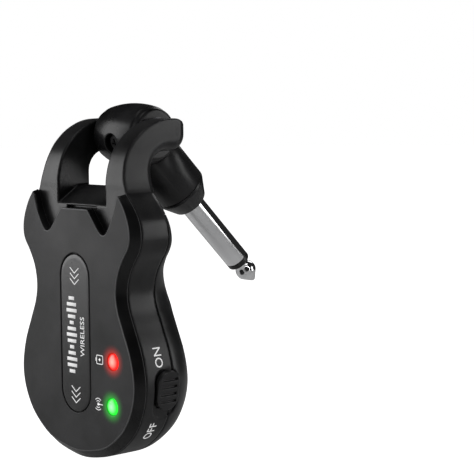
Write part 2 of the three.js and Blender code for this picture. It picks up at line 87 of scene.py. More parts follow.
@dataclass(frozen=True)
class Swivel:
    """The swivel axis, which lies along x, and the plug's set angle."""

    y: float = 19.6
    z: float = 45.6
    drop: float = 44.3

    def axes(self) -> tuple[Array, Array]:
        """Unit vectors along the plug's axis and across it, upwards and back."""
        turn = math.radians(self.drop)
        along = np.array([0.0, math.cos(turn), -math.sin(turn)])
        across = np.array([0.0, math.sin(turn), math.cos(turn)])
        return along, across


SWIVEL = Swivel()
COVER_DEPTH = 2.3
WALL_FRONT = 2.45
PARTING = 10.7
NECK = 26.8
SEAM = 0.07

# Right half of the face, from its lowest point up to the horn corner (x, z).
FACE_HALF = (
    (0, -32.3), (6.2, -31.5), (11.3, -30), (15.8, -27.1), (19, -23.9), (21.3, -19.8), (22.4, -15.6),
    (22.3, -11.4), (21, -6.3), (18.5, -0.7), (16.5, 4), (15.9, 8.3), (16.8, 12.8), (18.8, 16.5),
    (20.8, 19.3), (21.4, 21.8), (20.9, 25), (19.2, 28.8), (17.2, 31.4),
)
# Right-hand notch, from the horn corner to the tab corner (x, z).
NOTCH = (
    (16.9, 31.4), (15.6, 27.6), (13.9, 24.3), (12.4, 22.3), (11.3, 21.85), (9.9, 22.4), (7.8, 24.8),
    (5.3, 27.8),
)


def swivel_anchor() -> Array:
    """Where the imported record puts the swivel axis, in metres."""
    joint = next(j for j in frame["joints"] if j["name"] == "plug_swivel")
    return np.array(joint["pos_m"], float)


DATUM = swivel_anchor() - MM * np.array([0.0, SWIVEL.y, SWIVEL.z])


def seat(points: Array) -> Array:
    """Moves points from the maker's millimetres into the row frame's metres."""
    return np.asarray(points, float) * MM + DATUM


# ---------------------------------------------------------------- curves and outlines


def smoothstep(value: Array, low: float, high: float) -> Array:
    """Eases from 0 at low to 1 at high, by 3t^2 - 2t^3."""
    t = np.clip((np.asarray(value, float) - low) / (high - low), 0.0, 1.0)
    return t * t * (3.0 - 2.0 * t)


def spline(points: Sequence[Sequence[float]], per_span: int = 12) -> Array:
    """A Catmull-Rom curve through the points: each span is the cubic whose end slopes are half the
    chord between its neighbours.

    Args:
        points: the points to pass through, at least two.
        per_span: steps in each span.

    Returns:
        The curve's points, ends included.
    """
    given = np.asarray(points, float)
    padded = np.vstack([given[:1], given, given[-1:]])
    t = np.linspace(0.0, 1.0, per_span, endpoint=False)[None, :, None]
    before, start, end, after = (padded[i : len(padded) - 3 + i, None] for i in range(4))
    slope_in = (end - before) / 2.0
    slope_out = (after - start) / 2.0
    rise = 3.0 * (end - start) - 2.0 * slope_in - slope_out
    bend = 2.0 * (start - end) + slope_in + slope_out
    spans = start + slope_in * t + rise * t**2 + bend * t**3
    return np.vstack([spans.reshape(-1, given.shape[1]), given[-1:]])


def evenly(path: Array, count: int) -> Array:
    """Points at equal steps of arc length along a path, ends included."""
    steps = np.linalg.norm(np.diff(path, axis=0), axis=1)
    run = np.concatenate([[0.0], np.cumsum(steps)])
    places = np.linspace(0.0, run[-1], count)
    return np.stack([np.interp(places, run, path[:, k]) for k in range(path.shape[1])], axis=1)


def mirrored(half: Array) -> Array:
    """A path from the middle to the right, led in by its own reflection."""
    left = half[half[:, 0] > 1e-6] * [-1.0, 1.0]
    return np.vstack([left[::-1], half])


def outward(path: Array) -> Array:
    """Unit normals on the right-hand side of an open path (x, z) that runs left, round the bottom
    and right."""
    along = np.gradient(path, axis=0)
    along /= np.linalg.norm(along, axis=1, keepdims=True)
    return np.stack([along[:, 1], -along[:, 0]], axis=1)


def face_path(count: int = 361) -> Array:
    """The face's edge from the left horn round the bottom to the right horn."""
    whole = spline(mirrored(np.array(FACE_HALF, float)))
    return evenly(whole, count)


def rim_width(z: Array) -> Array:
    """How far the chamfer spreads outside the face: two millimetres, less beside the horns."""
    return 2.0 - 1.2 * smoothstep(z, 24.0, 31.4)


FACE_PATH = face_path()
RIM_STEP = outward(FACE_PATH) * rim_width(FACE_PATH[:, 1])[:, None]
RIM_PATH = FACE_PATH + RIM_STEP


def pill(radius: float, low: float, high: float, steps: int = 24, middle: float = 0.0) -> Array:
    """A straight-sided slot with round ends, long upwards, counter-clockwise from its right side."""
    turn = np.linspace(0.0, math.pi, steps + 1)
    top = np.stack([middle + radius * np.cos(turn), high - radius + radius * np.sin(turn)], axis=1)
    foot = np.stack([middle - radius * np.cos(turn), low + radius - radius * np.sin(turn)], axis=1)
    return np.vstack([top, foot])


def circle(radius: float, x: float, z: float, steps: int = 48) -> Array:
    """A closed circle of points (x, z), counter-clockwise."""
    turn = np.linspace(0.0, 2.0 * math.pi, steps, endpoint=False)
    return np.stack([x + radius * np.cos(turn), z + radius * np.sin(turn)], axis=1)


def rounded(corners: Sequence[Sequence[float]], steps: int = 5) -> Array:
    """A path through corners (a, b, radius), each turned into an arc that is tangent to both sides.

    Args:
        corners: the corner points with their rounding radius, 0 for a sharp one.
        steps: straight lengths in each arc.

    Returns:
        The path's points.
    """
    points = np.array([c[:2] for c in corners], float)
    path = [points[:1]]
    for i in range(1, len(corners) - 1):
        corner, radius = points[i], corners[i][2]
        back, ahead = points[i - 1] - corner, points[i + 1] - corner
        back, ahead = back / np.linalg.norm(back), ahead / np.linalg.norm(ahead)
        half = 0.5 * math.acos(float(np.clip(back @ ahead, -1.0, 1.0)))
        if radius <= 0.0 or half > 0.5 * math.pi - 1e-3:
            path.append(corner[None])
            continue
        centre = corner + (back + ahead) / np.linalg.norm(back + ahead) * radius / math.sin(half)
        first, last = corner + back * radius / math.tan(half), corner + ahead * radius / math.tan(half)
        path.append(arc(centre, first, last, steps))
    path.append(points[-1:])
    return np.vstack(path)


def arc(centre: Array, first: Array, last: Array, steps: int) -> Array:
    """Points round a centre from first to last by the shorter way."""
    start = math.atan2(*(first - centre)[::-1])
    sweep = math.atan2(*(last - centre)[::-1]) - start
    sweep -= 2.0 * math.pi * round(sweep / (2.0 * math.pi))
    turn = start + sweep * np.linspace(0.0, 1.0, steps + 1)
    return centre + np.linalg.norm(first - centre) * np.stack([np.cos(turn), np.sin(turn)], axis=1)


# ---------------------------------------------------------------- meshes


def build(name: str, points: Array, faces: Sequence[Array], body: Body,
          lines: Optional[Array] = None) -> Object:
    """Makes a piece from points in millimetres and arrays of three- or four-sided faces.

    Args:
        name: the piece's name.
        points: its corners, as rows of x, y, z.
        faces: arrays of corner numbers, each array with one kind of face.
        body: the body it rides on.
        lines: how much each corner takes the painted highlight line along an edge, from 0 to 1.

    Returns:
        The new piece, closed and facing outwards; its four-sided faces are smooth and its fills flat.
    """
    turned = [f for f in faces if len(f)]
    sides = np.concatenate([np.full(len(f), f.shape[1], dtype=np.int32) for f in turned])
    mesh = bpy.data.meshes.new(name)
    mesh.vertices.add(len(points))
    mesh.vertices.foreach_set("co", seat(points).astype(np.float32).ravel())
    mesh.loops.add(int(sides.sum()))
    mesh.loops.foreach_set("vertex_index", np.concatenate([f.ravel() for f in turned]).astype(np.int32))
    mesh.polygons.add(len(sides))
    mesh.polygons.foreach_set("loop_start", np.concatenate([[0], np.cumsum(sides)[:-1]]).astype(np.int32))
    mesh.polygons.foreach_set("use_smooth", sides == 4)
    if lines is not None:
        # store the painted highlight line that lightens the piece's edges
        edge = mesh.attributes.new("painted_highlight_line", "FLOAT", "POINT")
        edge.data.foreach_set("value", lines.astype(np.float32))
    mesh.update(calc_edges=True)
    mesh.validate()
    piece = bpy.data.objects.new(name, mesh)
    bpy.context.scene.collection.objects.link(piece)
    weld(piece)
    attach(piece, body.value)
    return piece


def weld(piece: Object, gap: float = 2e-7) -> None:
    """Merges corners that coincide, so that seams and poles are closed, and turns faces outwards."""
    work = bmesh.new()
    work.from_mesh(piece.data)
    bmesh.ops.remove_doubles(work, verts=work.verts, dist=gap)
    bmesh.ops.dissolve_degenerate(work, edges=work.edges, dist=gap)
    bmesh.ops.recalc_face_normals(work, faces=work.faces)
    work.to_mesh(piece.data)
    work.free()


def grid_faces(rows: int, columns: int, loop_rows: bool, loop_columns: bool, first: int = 0) -> Array:
    """Four-sided faces of a grid whose corners are numbered row by row."""
    row = np.arange(rows if loop_rows else rows - 1)[:, None]
    column = np.arange(columns if loop_columns else columns - 1)[None, :]
    below, right = (row + 1) % rows, (column + 1) % columns
    corners = [row * columns + column, row * columns + right, below * columns + right,
               below * columns + column]
    return np.stack([np.broadcast_to(c, (row.size, column.size)).ravel() for c in corners], axis=1) + first


def fill(loops: Sequence[Array], firsts: Sequence[int]) -> Array:
    """Triangles that fill an outline, leaving its holes open.

    Args:
        loops: the outline and then its holes, as rows of two coordinates.
        firsts: the number of each loop's first corner in the piece.

    Returns:
        Corner numbers of the triangles.
    """
    flat = [[Vector((a, b, 0.0)) for a, b in loop] for loop in loops]
    numbers = np.concatenate([first + np.arange(len(loop)) for loop, first in zip(loops, firsts)])
    return numbers[np.array(tessellate_polygon(flat), dtype=np.int64)]


def turned_grid(profile: Array, steps: int) -> Array:
    """Carries a profile (along, radius) round the plug's axis: along the axis by the first value and
    out by the second, at equal turns."""
    along, across = SWIVEL.axes()
    sideways = np.array([1.0, 0.0, 0.0])
    turn = np.linspace(0.0, 2.0 * math.pi, steps, endpoint=False)
    ray = np.cos(turn)[:, None] * sideways + np.sin(turn)[:, None] * across
    spine = np.array([0.0, SWIVEL.y, SWIVEL.z]) + profile[:, :1] * along
    return spine[:, None, :] + profile[:, 1, None, None] * ray[None]


def lathe(name: str, profile: Array, body: Body, steps: int = 96) -> Object:
    """A closed turned piece about the plug's axis; the profile starts and ends on the axis or joins
    itself."""
    grid = turned_grid(profile, steps)
    rows, columns = grid.shape[:2]
    joined = bool(np.allclose(profile[0], profile[-1]))
    faces = grid_faces(rows, columns, False, True)
    piece = build(name, grid.reshape(-1, 3), [faces], body)
    if not joined and (profile[0, 1] > 1e-9 or profile[-1, 1] > 1e-9):
        raise ValueError(f"{name}: the profile leaves the piece open")
    return piece


# ---------------------------------------------------------------- level-set solids


def distance(a: Array, b: Array, ring: Array) -> Array:
    """Signed distance from points (a, b) to a closed ring, less than zero inside.

    The distance is the least to any side, each found by dropping the point on it, and the sign comes
    from how many sides a ray towards +a crosses.
    """
    a, b = np.broadcast_arrays(a, b)
    flat = np.stack([np.ravel(a), np.ravel(b)], axis=1).astype(np.float32)
    start = ring.astype(np.float32)
    end = np.roll(start, -1, axis=0)
    side = end - start
    length = np.maximum((side**2).sum(axis=1), 1e-12)
    out = np.empty(len(flat))
    for low in range(0, len(flat), 6000):
        spot = flat[low : low + 6000, None, :] - start[None]
        t = np.clip((spot * side).sum(axis=2) / length, 0.0, 1.0)
        gap = spot - t[..., None] * side
        nearest = np.sqrt((gap**2).sum(axis=2).min(axis=1))
        rises = (spot[..., 1] >= 0.0) != (flat[low : low + 6000, None, 1] - end[None, :, 1] >= 0.0)
        lean = np.where(np.abs(side[:, 1]) < 1e-12, 1e-12, side[:, 1])
        crossing = rises & (spot[..., 0] < spot[..., 1] * side[:, 0] / lean)
        out[low : low + 6000] = np.where(crossing.sum(axis=1) % 2 == 1, -nearest, nearest)
    return out.reshape(np.shape(a))


def meet(a: Array, b: Array, radius: float) -> Array:
    """Intersection of two distance fields with its edge rounded to a radius."""
    over = np.maximum(np.stack(np.broadcast_arrays(a + radius, b + radius)), 0.0)
    return np.minimum(np.maximum(a, b), -radius) + np.sqrt((over**2).sum(axis=0))


def cut(a: Array, b: Array, radius: float) -> Array:
    """Takes b out of a and rounds the edge that this leaves."""
    return meet(a, -b, radius)


CUBE = np.array([[i, j, k] for i in (0, 1) for j in (0, 1) for k in (0, 1)])
CUBE_EDGES = np.array([(p, q) for p in range(8) for q in range(p + 1, 8)
                       if np.abs(CUBE[p] - CUBE[q]).sum() == 1])


def level_skin(field: Field, low: Array, high: Array, pitch: float) -> tuple[Array, Array]:
    """The surface where a field is zero, by surface nets.

    Each cell that the surface passes through gets one corner, at the mean of the places where its
    edges cross zero, and each crossed grid edge joins the four cells round it. The corners are then
    slid along the field's slope until the field is zero there.

    Args:
        field: the signed field of x, y, z.
        low, high: opposite corners of the box searched.
        pitch: the cell size.

    Returns:
        The corners and the four-sided faces.
    """
    axes = [np.arange(a - pitch, b + 2.0 * pitch, pitch) for a, b in zip(low, high)]
    values = field(axes[0][:, None, None], axes[1][None, :, None], axes[2][None, None, :])
    values = np.broadcast_to(values, [len(a) for a in axes]).copy()
    origin = np.array([a[0] for a in axes])
    shape = np.array(values.shape) - 1
    inside = values < 0.0
    count = sum(inside[i : i + shape[0], j : j + shape[1], k : k + shape[2]].astype(np.int8)
                for i, j, k in CUBE)
    cells = np.argwhere((count > 0) & (count < 8))
    number = np.full(tuple(shape), -1, dtype=np.int64)
    number[tuple(cells.T)] = np.arange(len(cells))
    at = values[tuple((cells[:, None, :] + CUBE[None]).transpose(2, 0, 1))]
    first, second = at[:, CUBE_EDGES[:, 0]], at[:, CUBE_EDGES[:, 1]]
    crossed = (first < 0.0) != (second < 0.0)
    share = np.where(crossed, first / np.where(crossed, first - second, 1.0), 0.0)[..., None]
    start, end = CUBE[CUBE_EDGES[:, 0]], CUBE[CUBE_EDGES[:, 1]]
    places = (start + share * (end - start)) * crossed[..., None]
    corners = cells + places.sum(axis=1) / crossed.sum(axis=1)[:, None]
    points = settle(field, values, origin, corners, pitch)
    return points, net_faces(inside, number)


def net_faces(inside: Array, number: Array) -> Array:
    """Joins the four cells round each grid edge that crosses the surface."""
    faces = []
    for axis in range(3):
        one, two = (axis + 1) % 3, (axis + 2) % 3
        ahead = np.roll(inside, -1, axis=axis)
        edge = inside != ahead
        for other in range(3):
            ends = [slice(None)] * 3
            ends[other] = slice(-1, None)
            edge[tuple(ends)] = False
            if other != axis:
                ends[other] = slice(0, 1)
                edge[tuple(ends)] = False
        places = np.argwhere(edge)
        step_one, step_two = np.eye(3, dtype=int)[one], np.eye(3, dtype=int)[two]
        ring = [places - step_one - step_two, places - step_two, places, places - step_one]
        quads = np.stack([number[tuple(p.T)] for p in ring], axis=1)
        leaving = inside[tuple(places.T)]
        quads[~leaving] = quads[~leaving][:, ::-1]
        faces.append(quads)
    return np.concatenate(faces)


def settle(field: Field, values: Array, origin: Array, corners: Array, pitch: float) -> Array:
    """Slides corners down the field's slope on to its zero level, at most half a cell at a time.

    The slope at a corner is the mean of the slopes at the eight grid points round it, each weighted by
    how near it is along the three axes.

    Args:
        field: the signed field of x, y, z.
        values: the field on the grid.
        origin: the grid's first point.
        corners: places to slide, in cells from the first point.
        pitch: the cell size.

    Returns:
        The settled places.
    """
    cell = np.clip(np.floor(corners).astype(int), 0, np.array(values.shape) - 2)
    share = corners - cell
    slope = np.zeros_like(corners)
    for axis in range(3):
        rise = np.gradient(values, pitch, axis=axis)
        for offset in CUBE:
            weight = np.prod(np.where(offset == 1, share, 1.0 - share), axis=1)
            slope[:, axis] += weight * rise[tuple((cell + offset).T)]
    steep = np.maximum((slope**2).sum(axis=1), 0.1)
    points = origin + corners * pitch
    for _ in range(2):
        step = -(field(*points.T) / steep)[:, None] * slope
        reach = np.maximum(np.linalg.norm(step, axis=1, keepdims=True) / (0.5 * pitch), 1.0)
        points = points + step / reach
    return points


# ---------------------------------------------------------------- shader groups


Color = tuple[float, float, float]
Tree = bpy.types.NodeTree
Node = bpy.types.Node


def node(tree: Tree, kind: str, **settings: object) -> Node:
    """Adds a node and sets its named properties."""
    made = tree.nodes.new(kind)
    for name, value in settings.items():
        setattr(made, name, value)
    return made


def wire(tree: Tree, source: bpy.types.NodeSocket, target: bpy.types.NodeSocket) -> None:
    """Links two sockets."""
    tree.links.new(source, target)


def combine(tree: Tree, operation: str, first: object, second: object) -> bpy.types.NodeSocket:
    """A Math node's result on two values, each a socket or a number."""
    maths = node(tree, "ShaderNodeMath", operation=operation)
    for slot_in, value in zip(maths.inputs, (first, second)):
        if isinstance(value, (int, float)):
            slot_in.default_value = value
        else:
            wire(tree, value, slot_in)
    return maths.outputs[0]


def spread(tree: Tree, value: bpy.types.NodeSocket, low: float, high: float,
           to_low: float, to_high: float) -> bpy.types.NodeSocket:
    """Maps a range of a value on to another range, clamped."""
    mapped = node(tree, "ShaderNodeMapRange")
    wire(tree, value, mapped.inputs["Value"])
    for name, number in (("From Min", low), ("From Max", high), ("To Min", to_low), ("To Max", to_high)):
        mapped.inputs[name].default_value = number
    return mapped.outputs[0]


def blend_colors(tree: Tree, share: object, first: object, second: object) -> bpy.types.NodeSocket:
    """Mixes two colours, each a socket or a colour, by a share."""
    mixer = node(tree, "ShaderNodeMix", data_type="RGBA")
    for slot_in, value in ((mixer.inputs[0], share), (mixer.inputs[6], first), (mixer.inputs[7], second)):
        if isinstance(value, tuple):
            slot_in.default_value = (*value, 1.0)
        elif isinstance(value, (int, float)):
            slot_in.default_value = value
        else:
            wire(tree, value, slot_in)
    return mixer.outputs[2]


def group(name: str, inputs: Sequence[tuple[str, str, object]], outputs: Sequence[tuple[str, str]]) -> Tree:
    """Starts a shader node group with named sockets.

    Args:
        name: the group's name.
        inputs: each input's name, socket type and value.
        outputs: each output's name and socket type.

    Returns:
        The group, with its input and output nodes in place.
    """
    made = bpy.data.node_groups.new(name, "ShaderNodeTree")
    for title, kind, value in inputs:
        made.interface.new_socket(title, in_out="INPUT", socket_type=kind).default_value = value
    for title, kind in outputs:
        made.interface.new_socket(title, in_out="OUTPUT", socket_type=kind)
    node(made, "NodeGroupInput")
    node(made, "NodeGroupOutput")
    return made


def ends(tree: Tree) -> tuple[Node, Node]:
    """A group's input node and output node."""
    return tree.nodes["Group Input"], tree.nodes["Group Output"]


def noise(tree: Tree, scale: float, detail: float = 2.0) -> bpy.types.NodeSocket:
    """A noise texture laid over the object's own coordinates, as a value from 0 to 1."""
    place, made = node(tree, "ShaderNodeTexCoord"), node(tree, "ShaderNodeTexNoise")
    made.inputs["Scale"].default_value = scale
    made.inputs["Detail"].default_value = detail
    wire(tree, place.outputs["Object"], made.inputs["Vector"])
    return made.outputs["Fac"]


class Effects:
    """The effects that the finishes share, each a node group that is built once."""

    def __init__(self) -> None:
        """Builds the three groups."""
        self.grain = self.make_grain()
        self.wear_and_highlight = self.make_wear_and_highlight()
        self.handling = self.make_handling()

    def make_grain(self) -> Tree:
        """Moulded grain: two sizes of noise and a little cell pattern, as a height and a tone."""
        sockets = [("Scale", "NodeSocketFloat", 2200.0), ("Pits", "NodeSocketFloat", 0.3)]
        tree = group("moulded grain", sockets, [("Height", "NodeSocketFloat"), ("Tone", "NodeSocketFloat")])
        given, result = ends(tree)
        place = node(tree, "ShaderNodeTexCoord")
        fine = node(tree, "ShaderNodeTexNoise")
        fine.inputs["Detail"].default_value = 3.0
        cells = node(tree, "ShaderNodeTexVoronoi")
        for texture in (fine, cells):
            wire(tree, place.outputs["Object"], texture.inputs["Vector"])
            wire(tree, given.outputs["Scale"], texture.inputs["Scale"])
        pits = combine(tree, "MULTIPLY", cells.outputs["Distance"], given.outputs["Pits"])
        wire(tree, combine(tree, "ADD", fine.outputs["Fac"], pits), result.inputs["Height"])
        wire(tree, noise(tree, 90.0), result.inputs["Tone"])
        return tree

    def make_wear_and_highlight(self) -> Tree:
        """Edge wear and painted edge highlight: a colour that turns to the lighter one where the surface
        bends outwards, broken up by noise, partly wear and partly a painted highlight, and along painted
        highlight lines."""
        tree = group("edge wear", [("Color", "NodeSocketColor", (0.05, 0.05, 0.05, 1.0)),
                                   ("Worn Color", "NodeSocketColor", (0.2, 0.2, 0.2, 1.0)),
                                   ("Reach", "NodeSocketFloat", 0.08), ("Amount", "NodeSocketFloat", 0.5),
                                   ("Line", "NodeSocketFloat", 0.0)],
                     [("Color", "NodeSocketColor"), ("Mask", "NodeSocketFloat")])
        given, result = ends(tree)
        # convex edges turn lighter: partly wear, partly a painted highlight along the edge
        bend = node(tree, "ShaderNodeNewGeometry")
        over = combine(tree, "SUBTRACT", bend.outputs["Pointiness"], 0.515)
        edge = combine(tree, "DIVIDE", over, given.outputs["Reach"])
        patchy = spread(tree, noise(tree, 260.0), 0.35, 0.6, 0.55, 1.0)
        full = combine(tree, "MULTIPLY", combine(tree, "MULTIPLY", edge, patchy), given.outputs["Amount"])
        # painted highlight line on the corners that a piece marks, standing in for light caught by its
        # edges
        painted = node(tree, "ShaderNodeAttribute", attribute_name="painted_highlight_line")
        line = combine(tree, "MULTIPLY", painted.outputs["Fac"], given.outputs["Line"])
        mask = spread(tree, combine(tree, "MAXIMUM", full, line), 0.0, 1.0, 0.0, 1.0)
        wire(tree, blend_colors(tree, mask, given.outputs["Color"], given.outputs["Worn Color"]),
             result.inputs["Color"])
        wire(tree, mask, result.inputs["Mask"])
        return tree

    def make_handling(self) -> Tree:
        """Handling: a roughness that drifts round its middle where fingers have polished it, and a
        faint dust on faces that look up."""
        tree = group("handling", [("Roughness", "NodeSocketFloat", 0.4), ("Drift", "NodeSocketFloat", 0.08),
                                  ("Dust", "NodeSocketFloat", 0.2)],
                     [("Roughness", "NodeSocketFloat"), ("Dust", "NodeSocketFloat")])
        given, result = ends(tree)
        swing = spread(tree, noise(tree, 55.0, 4.0), 0.3, 0.7, -1.0, 1.0)
        drift = combine(tree, "MULTIPLY", swing, given.outputs["Drift"])
        wire(tree, combine(tree, "ADD", given.outputs["Roughness"], drift), result.inputs["Roughness"])
        facing = node(tree, "ShaderNodeNewGeometry")
        parts = node(tree, "ShaderNodeSeparateXYZ")
        wire(tree, facing.outputs["Normal"], parts.inputs[0])
        up = spread(tree, parts.outputs["Z"], 0.35, 1.0, 0.0, 1.0)
        specks = spread(tree, noise(tree, 1800.0), 0.45, 0.7, 0.0, 1.0)
        dusty = combine(tree, "MULTIPLY", up, specks)
        wire(tree, combine(tree, "MULTIPLY", dusty, given.outputs["Dust"]), result.inputs["Dust"])
        return tree


EFFECTS = Effects()


def use(tree: Tree, effect: Tree, **values: object) -> Node:
    """Places a shared effect in a material with its own values."""
    placed = node(tree, "ShaderNodeGroup", node_tree=effect)
    for name, value in values.items():
        placed.inputs[name.replace("_", " ")].default_value = value
    return placed


# ---------------------------------------------------------------- finishes


@dataclass(frozen=True)
class Moulded:
    """Moulded plastic: a base colour that fades with height, a painted shade on the face and the inlay;
    fine grain; edges that turn lighter, partly worn and partly a painted highlight; handling; and a painted
    glow where one is set.
    """

    color: Color
    # darker colour towards the bottom; on the face and the inlay it is a painted shade
    low_color: Optional[Color] = None
    fade: tuple[float, float] = (-0.055, 0.02)
    # lighter edge colour and how much of it: wear, and also a painted edge highlight
    edge_wear_and_highlight: Color = (0.12, 0.12, 0.125)
    wear_and_highlight: float = 0.5
    roughness: float = 0.4
    drift: float = 0.06
    grain: float = 0.12
    grain_scale: float = 2200.0
    dust: float = 0.05
    coat: float = 0.0
    specular: float = 0.5
    glow: tuple[tuple[Color, tuple[float, float]], ...] = ()
    # white emission over the whole surface: a painted glow
    painted_glow: float = 0.0
    # how strongly corners marked with the painted highlight line turn to the lighter edge colour
    line: float = 0.0

    def material(self, name: str) -> bpy.types.Material:
        """Builds the material."""
        made, tree, shader = blank(name)
        color: object = self.color
        # fade to the darker colour towards the bottom: painted shade on the face and the inlay
        if self.low_color is not None:
            color = blend_colors(tree, height_share(tree, *self.fade), self.low_color, self.color)
        grain = use(tree, EFFECTS.grain, Scale=self.grain_scale)
        tone = spread(tree, grain.outputs["Tone"], 0.3, 0.7, 0.0, 0.12)
        lighter = blend_colors(tree, tone, color, (0.3, 0.3, 0.31))
        # edges turn lighter: wear, a painted edge highlight, and the painted highlight lines
        edge_wear_and_highlight = use(tree, EFFECTS.wear_and_highlight, Worn_Color=(*self.edge_wear_and_highlight, 1.0), Amount=self.wear_and_highlight,
                   Line=self.line)
        wire(tree, lighter, edge_wear_and_highlight.inputs["Color"])
        touch = use(tree, EFFECTS.handling, Roughness=self.roughness, Drift=self.drift, Dust=self.dust)
        dusty = blend_colors(tree, touch.outputs["Dust"], edge_wear_and_highlight.outputs["Color"], (0.45, 0.44, 0.42))
        wire(tree, dusty, shader.inputs["Base Color"])
        wire(tree, touch.outputs["Roughness"], shader.inputs["Roughness"])
        bump(tree, shader, grain.outputs["Height"], self.grain)
        shader.inputs["Coat Weight"].default_value = self.coat
        shader.inputs["Coat Roughness"].default_value = 0.08
        shader.inputs["Specular IOR Level"].default_value = self.specular
        # glow paints the lamps' light spilled round them; the other branch makes the surface emit white, a
        # painted glow
        if self.glow:
            wire(tree, halo(tree, self.glow), shader.inputs["Emission Color"])
            shader.inputs["Emission Strength"].default_value = 1.0
        elif self.painted_glow > 0.0:
            shader.inputs["Emission Color"].default_value = (1.0, 1.0, 1.0, 1.0)
            shader.inputs["Emission Strength"].default_value = self.painted_glow
        return made


@dataclass(frozen=True)
class Plated:
    """Plated or plain metal: faint turning lines, tarnish in patches and a drifting roughness."""

    color: Color
    tarnish: Color
    roughness: float = 0.12
    drift: float = 0.04
    lines: float = 0.02
    line_scale: float = 900.0

    def material(self, name: str) -> bpy.types.Material:
        """Builds the material."""
        made, tree, shader = blank(name)
        grain = use(tree, EFFECTS.grain, Scale=self.line_scale, Pits=0.1)
        share = spread(tree, grain.outputs["Tone"], 0.45, 0.75, 0.0, 0.5)
        wire(tree, blend_colors(tree, share, self.color, self.tarnish), shader.inputs["Base Color"])
        touch = use(tree, EFFECTS.handling, Roughness=self.roughness, Drift=self.drift, Dust=0.0)
        wire(tree, touch.outputs["Roughness"], shader.inputs["Roughness"])
        bump(tree, shader, grain.outputs["Height"], self.lines)
        shader.inputs["Metallic"].default_value = 1.0
        return made


@dataclass(frozen=True)
class Lit:
    """A lit lens: pale in its middle and deep at its edge, over fine facets."""

    deep: Color
    pale: Color
    centre: tuple[float, float]
    strength: float = 1.6

    def material(self, name: str) -> bpy.types.Material:
        """Builds the material."""
        made, tree, shader = blank(name)
        off = away(tree, self.centre)
        share = spread(tree, off, 0.0003, 0.00165, 0.0, 1.0)
        color = blend_colors(tree, share, self.pale, self.deep)
        wire(tree, color, shader.inputs["Emission Color"])
        shader.inputs["Emission Strength"].default_value = self.strength
        wire(tree, blend_colors(tree, share, self.deep, (0.05, 0.02, 0.02)), shader.inputs["Base Color"])
        grain = use(tree, EFFECTS.grain, Scale=1500.0)
        bump(tree, shader, grain.outputs["Height"], 0.1)
        shader.inputs["Roughness"].default_value = 0.18
        return made


def blank(name: str) -> tuple[bpy.types.Material, Tree, Node]:
    """A new material with its node tree and its principled shader."""
    made = bpy.data.materials.new(name)
    made.use_nodes = True
    return made, made.node_tree, made.node_tree.nodes["Principled BSDF"]


def bump(tree: Tree, shader: Node, height: bpy.types.NodeSocket, strength: float) -> None:
    """Feeds a height through a Bump node into the shader's normal."""
    raised = node(tree, "ShaderNodeBump")
    raised.inputs["Strength"].default_value = strength
    raised.inputs["Distance"].default_value = 0.0001
    wire(tree, height, raised.inputs["Height"])
    wire(tree, raised.outputs["Normal"], shader.inputs["Normal"])


def height_share(tree: Tree, low: float, high: float) -> bpy.types.NodeSocket:
    """0 below a height in metres and 1 above another."""
    place = node(tree, "ShaderNodeTexCoord")
    parts = node(tree, "ShaderNodeSeparateXYZ")
    wire(tree, place.outputs["Object"], parts.inputs[0])
    return spread(tree, parts.outputs["Z"], low, high, 0.0, 1.0)


def away(tree: Tree, centre: tuple[float, float]) -> bpy.types.NodeSocket:
    """Distance over the face, in metres, from a place given as (x, z) in the maker's millimetres."""
    spot = seat(np.array([centre[0], 0.0, centre[1]]))
    place = node(tree, "ShaderNodeTexCoord")
    gap = node(tree, "ShaderNodeVectorMath", operation="DISTANCE")
    wire(tree, place.outputs["Object"], gap.inputs[0])
    gap.inputs[1].default_value = tuple(spot)
    return gap.outputs["Value"]


def halo(tree: Tree, glows: Sequence[tuple[Color, tuple[float, float]]]) -> bpy.types.NodeSocket:
    """Light that spills on to the face round each lamp, falling off with distance."""
    total: object = (0.0, 0.0, 0.0)
    for color, centre in glows:
        near = spread(tree, away(tree, centre), 0.0019, 0.0046, 1.0, 0.0)
        soft = combine(tree, "POWER", near, 2.2)
        lit = blend_colors(tree, soft, (0.0, 0.0, 0.0), color)
        adder = node(tree, "ShaderNodeMix", data_type="RGBA", blend_type="ADD")
        adder.inputs[0].default_value = 1.0
        if isinstance(total, tuple):
            adder.inputs[6].default_value = (*total, 1.0)
        else:
            wire(tree, total, adder.inputs[6])
        wire(tree, lit, adder.inputs[7])
        total = adder.outputs[2]
    return total


RED_AT, GREEN_AT = (14.6, -8.5), (14.1, -19.5)


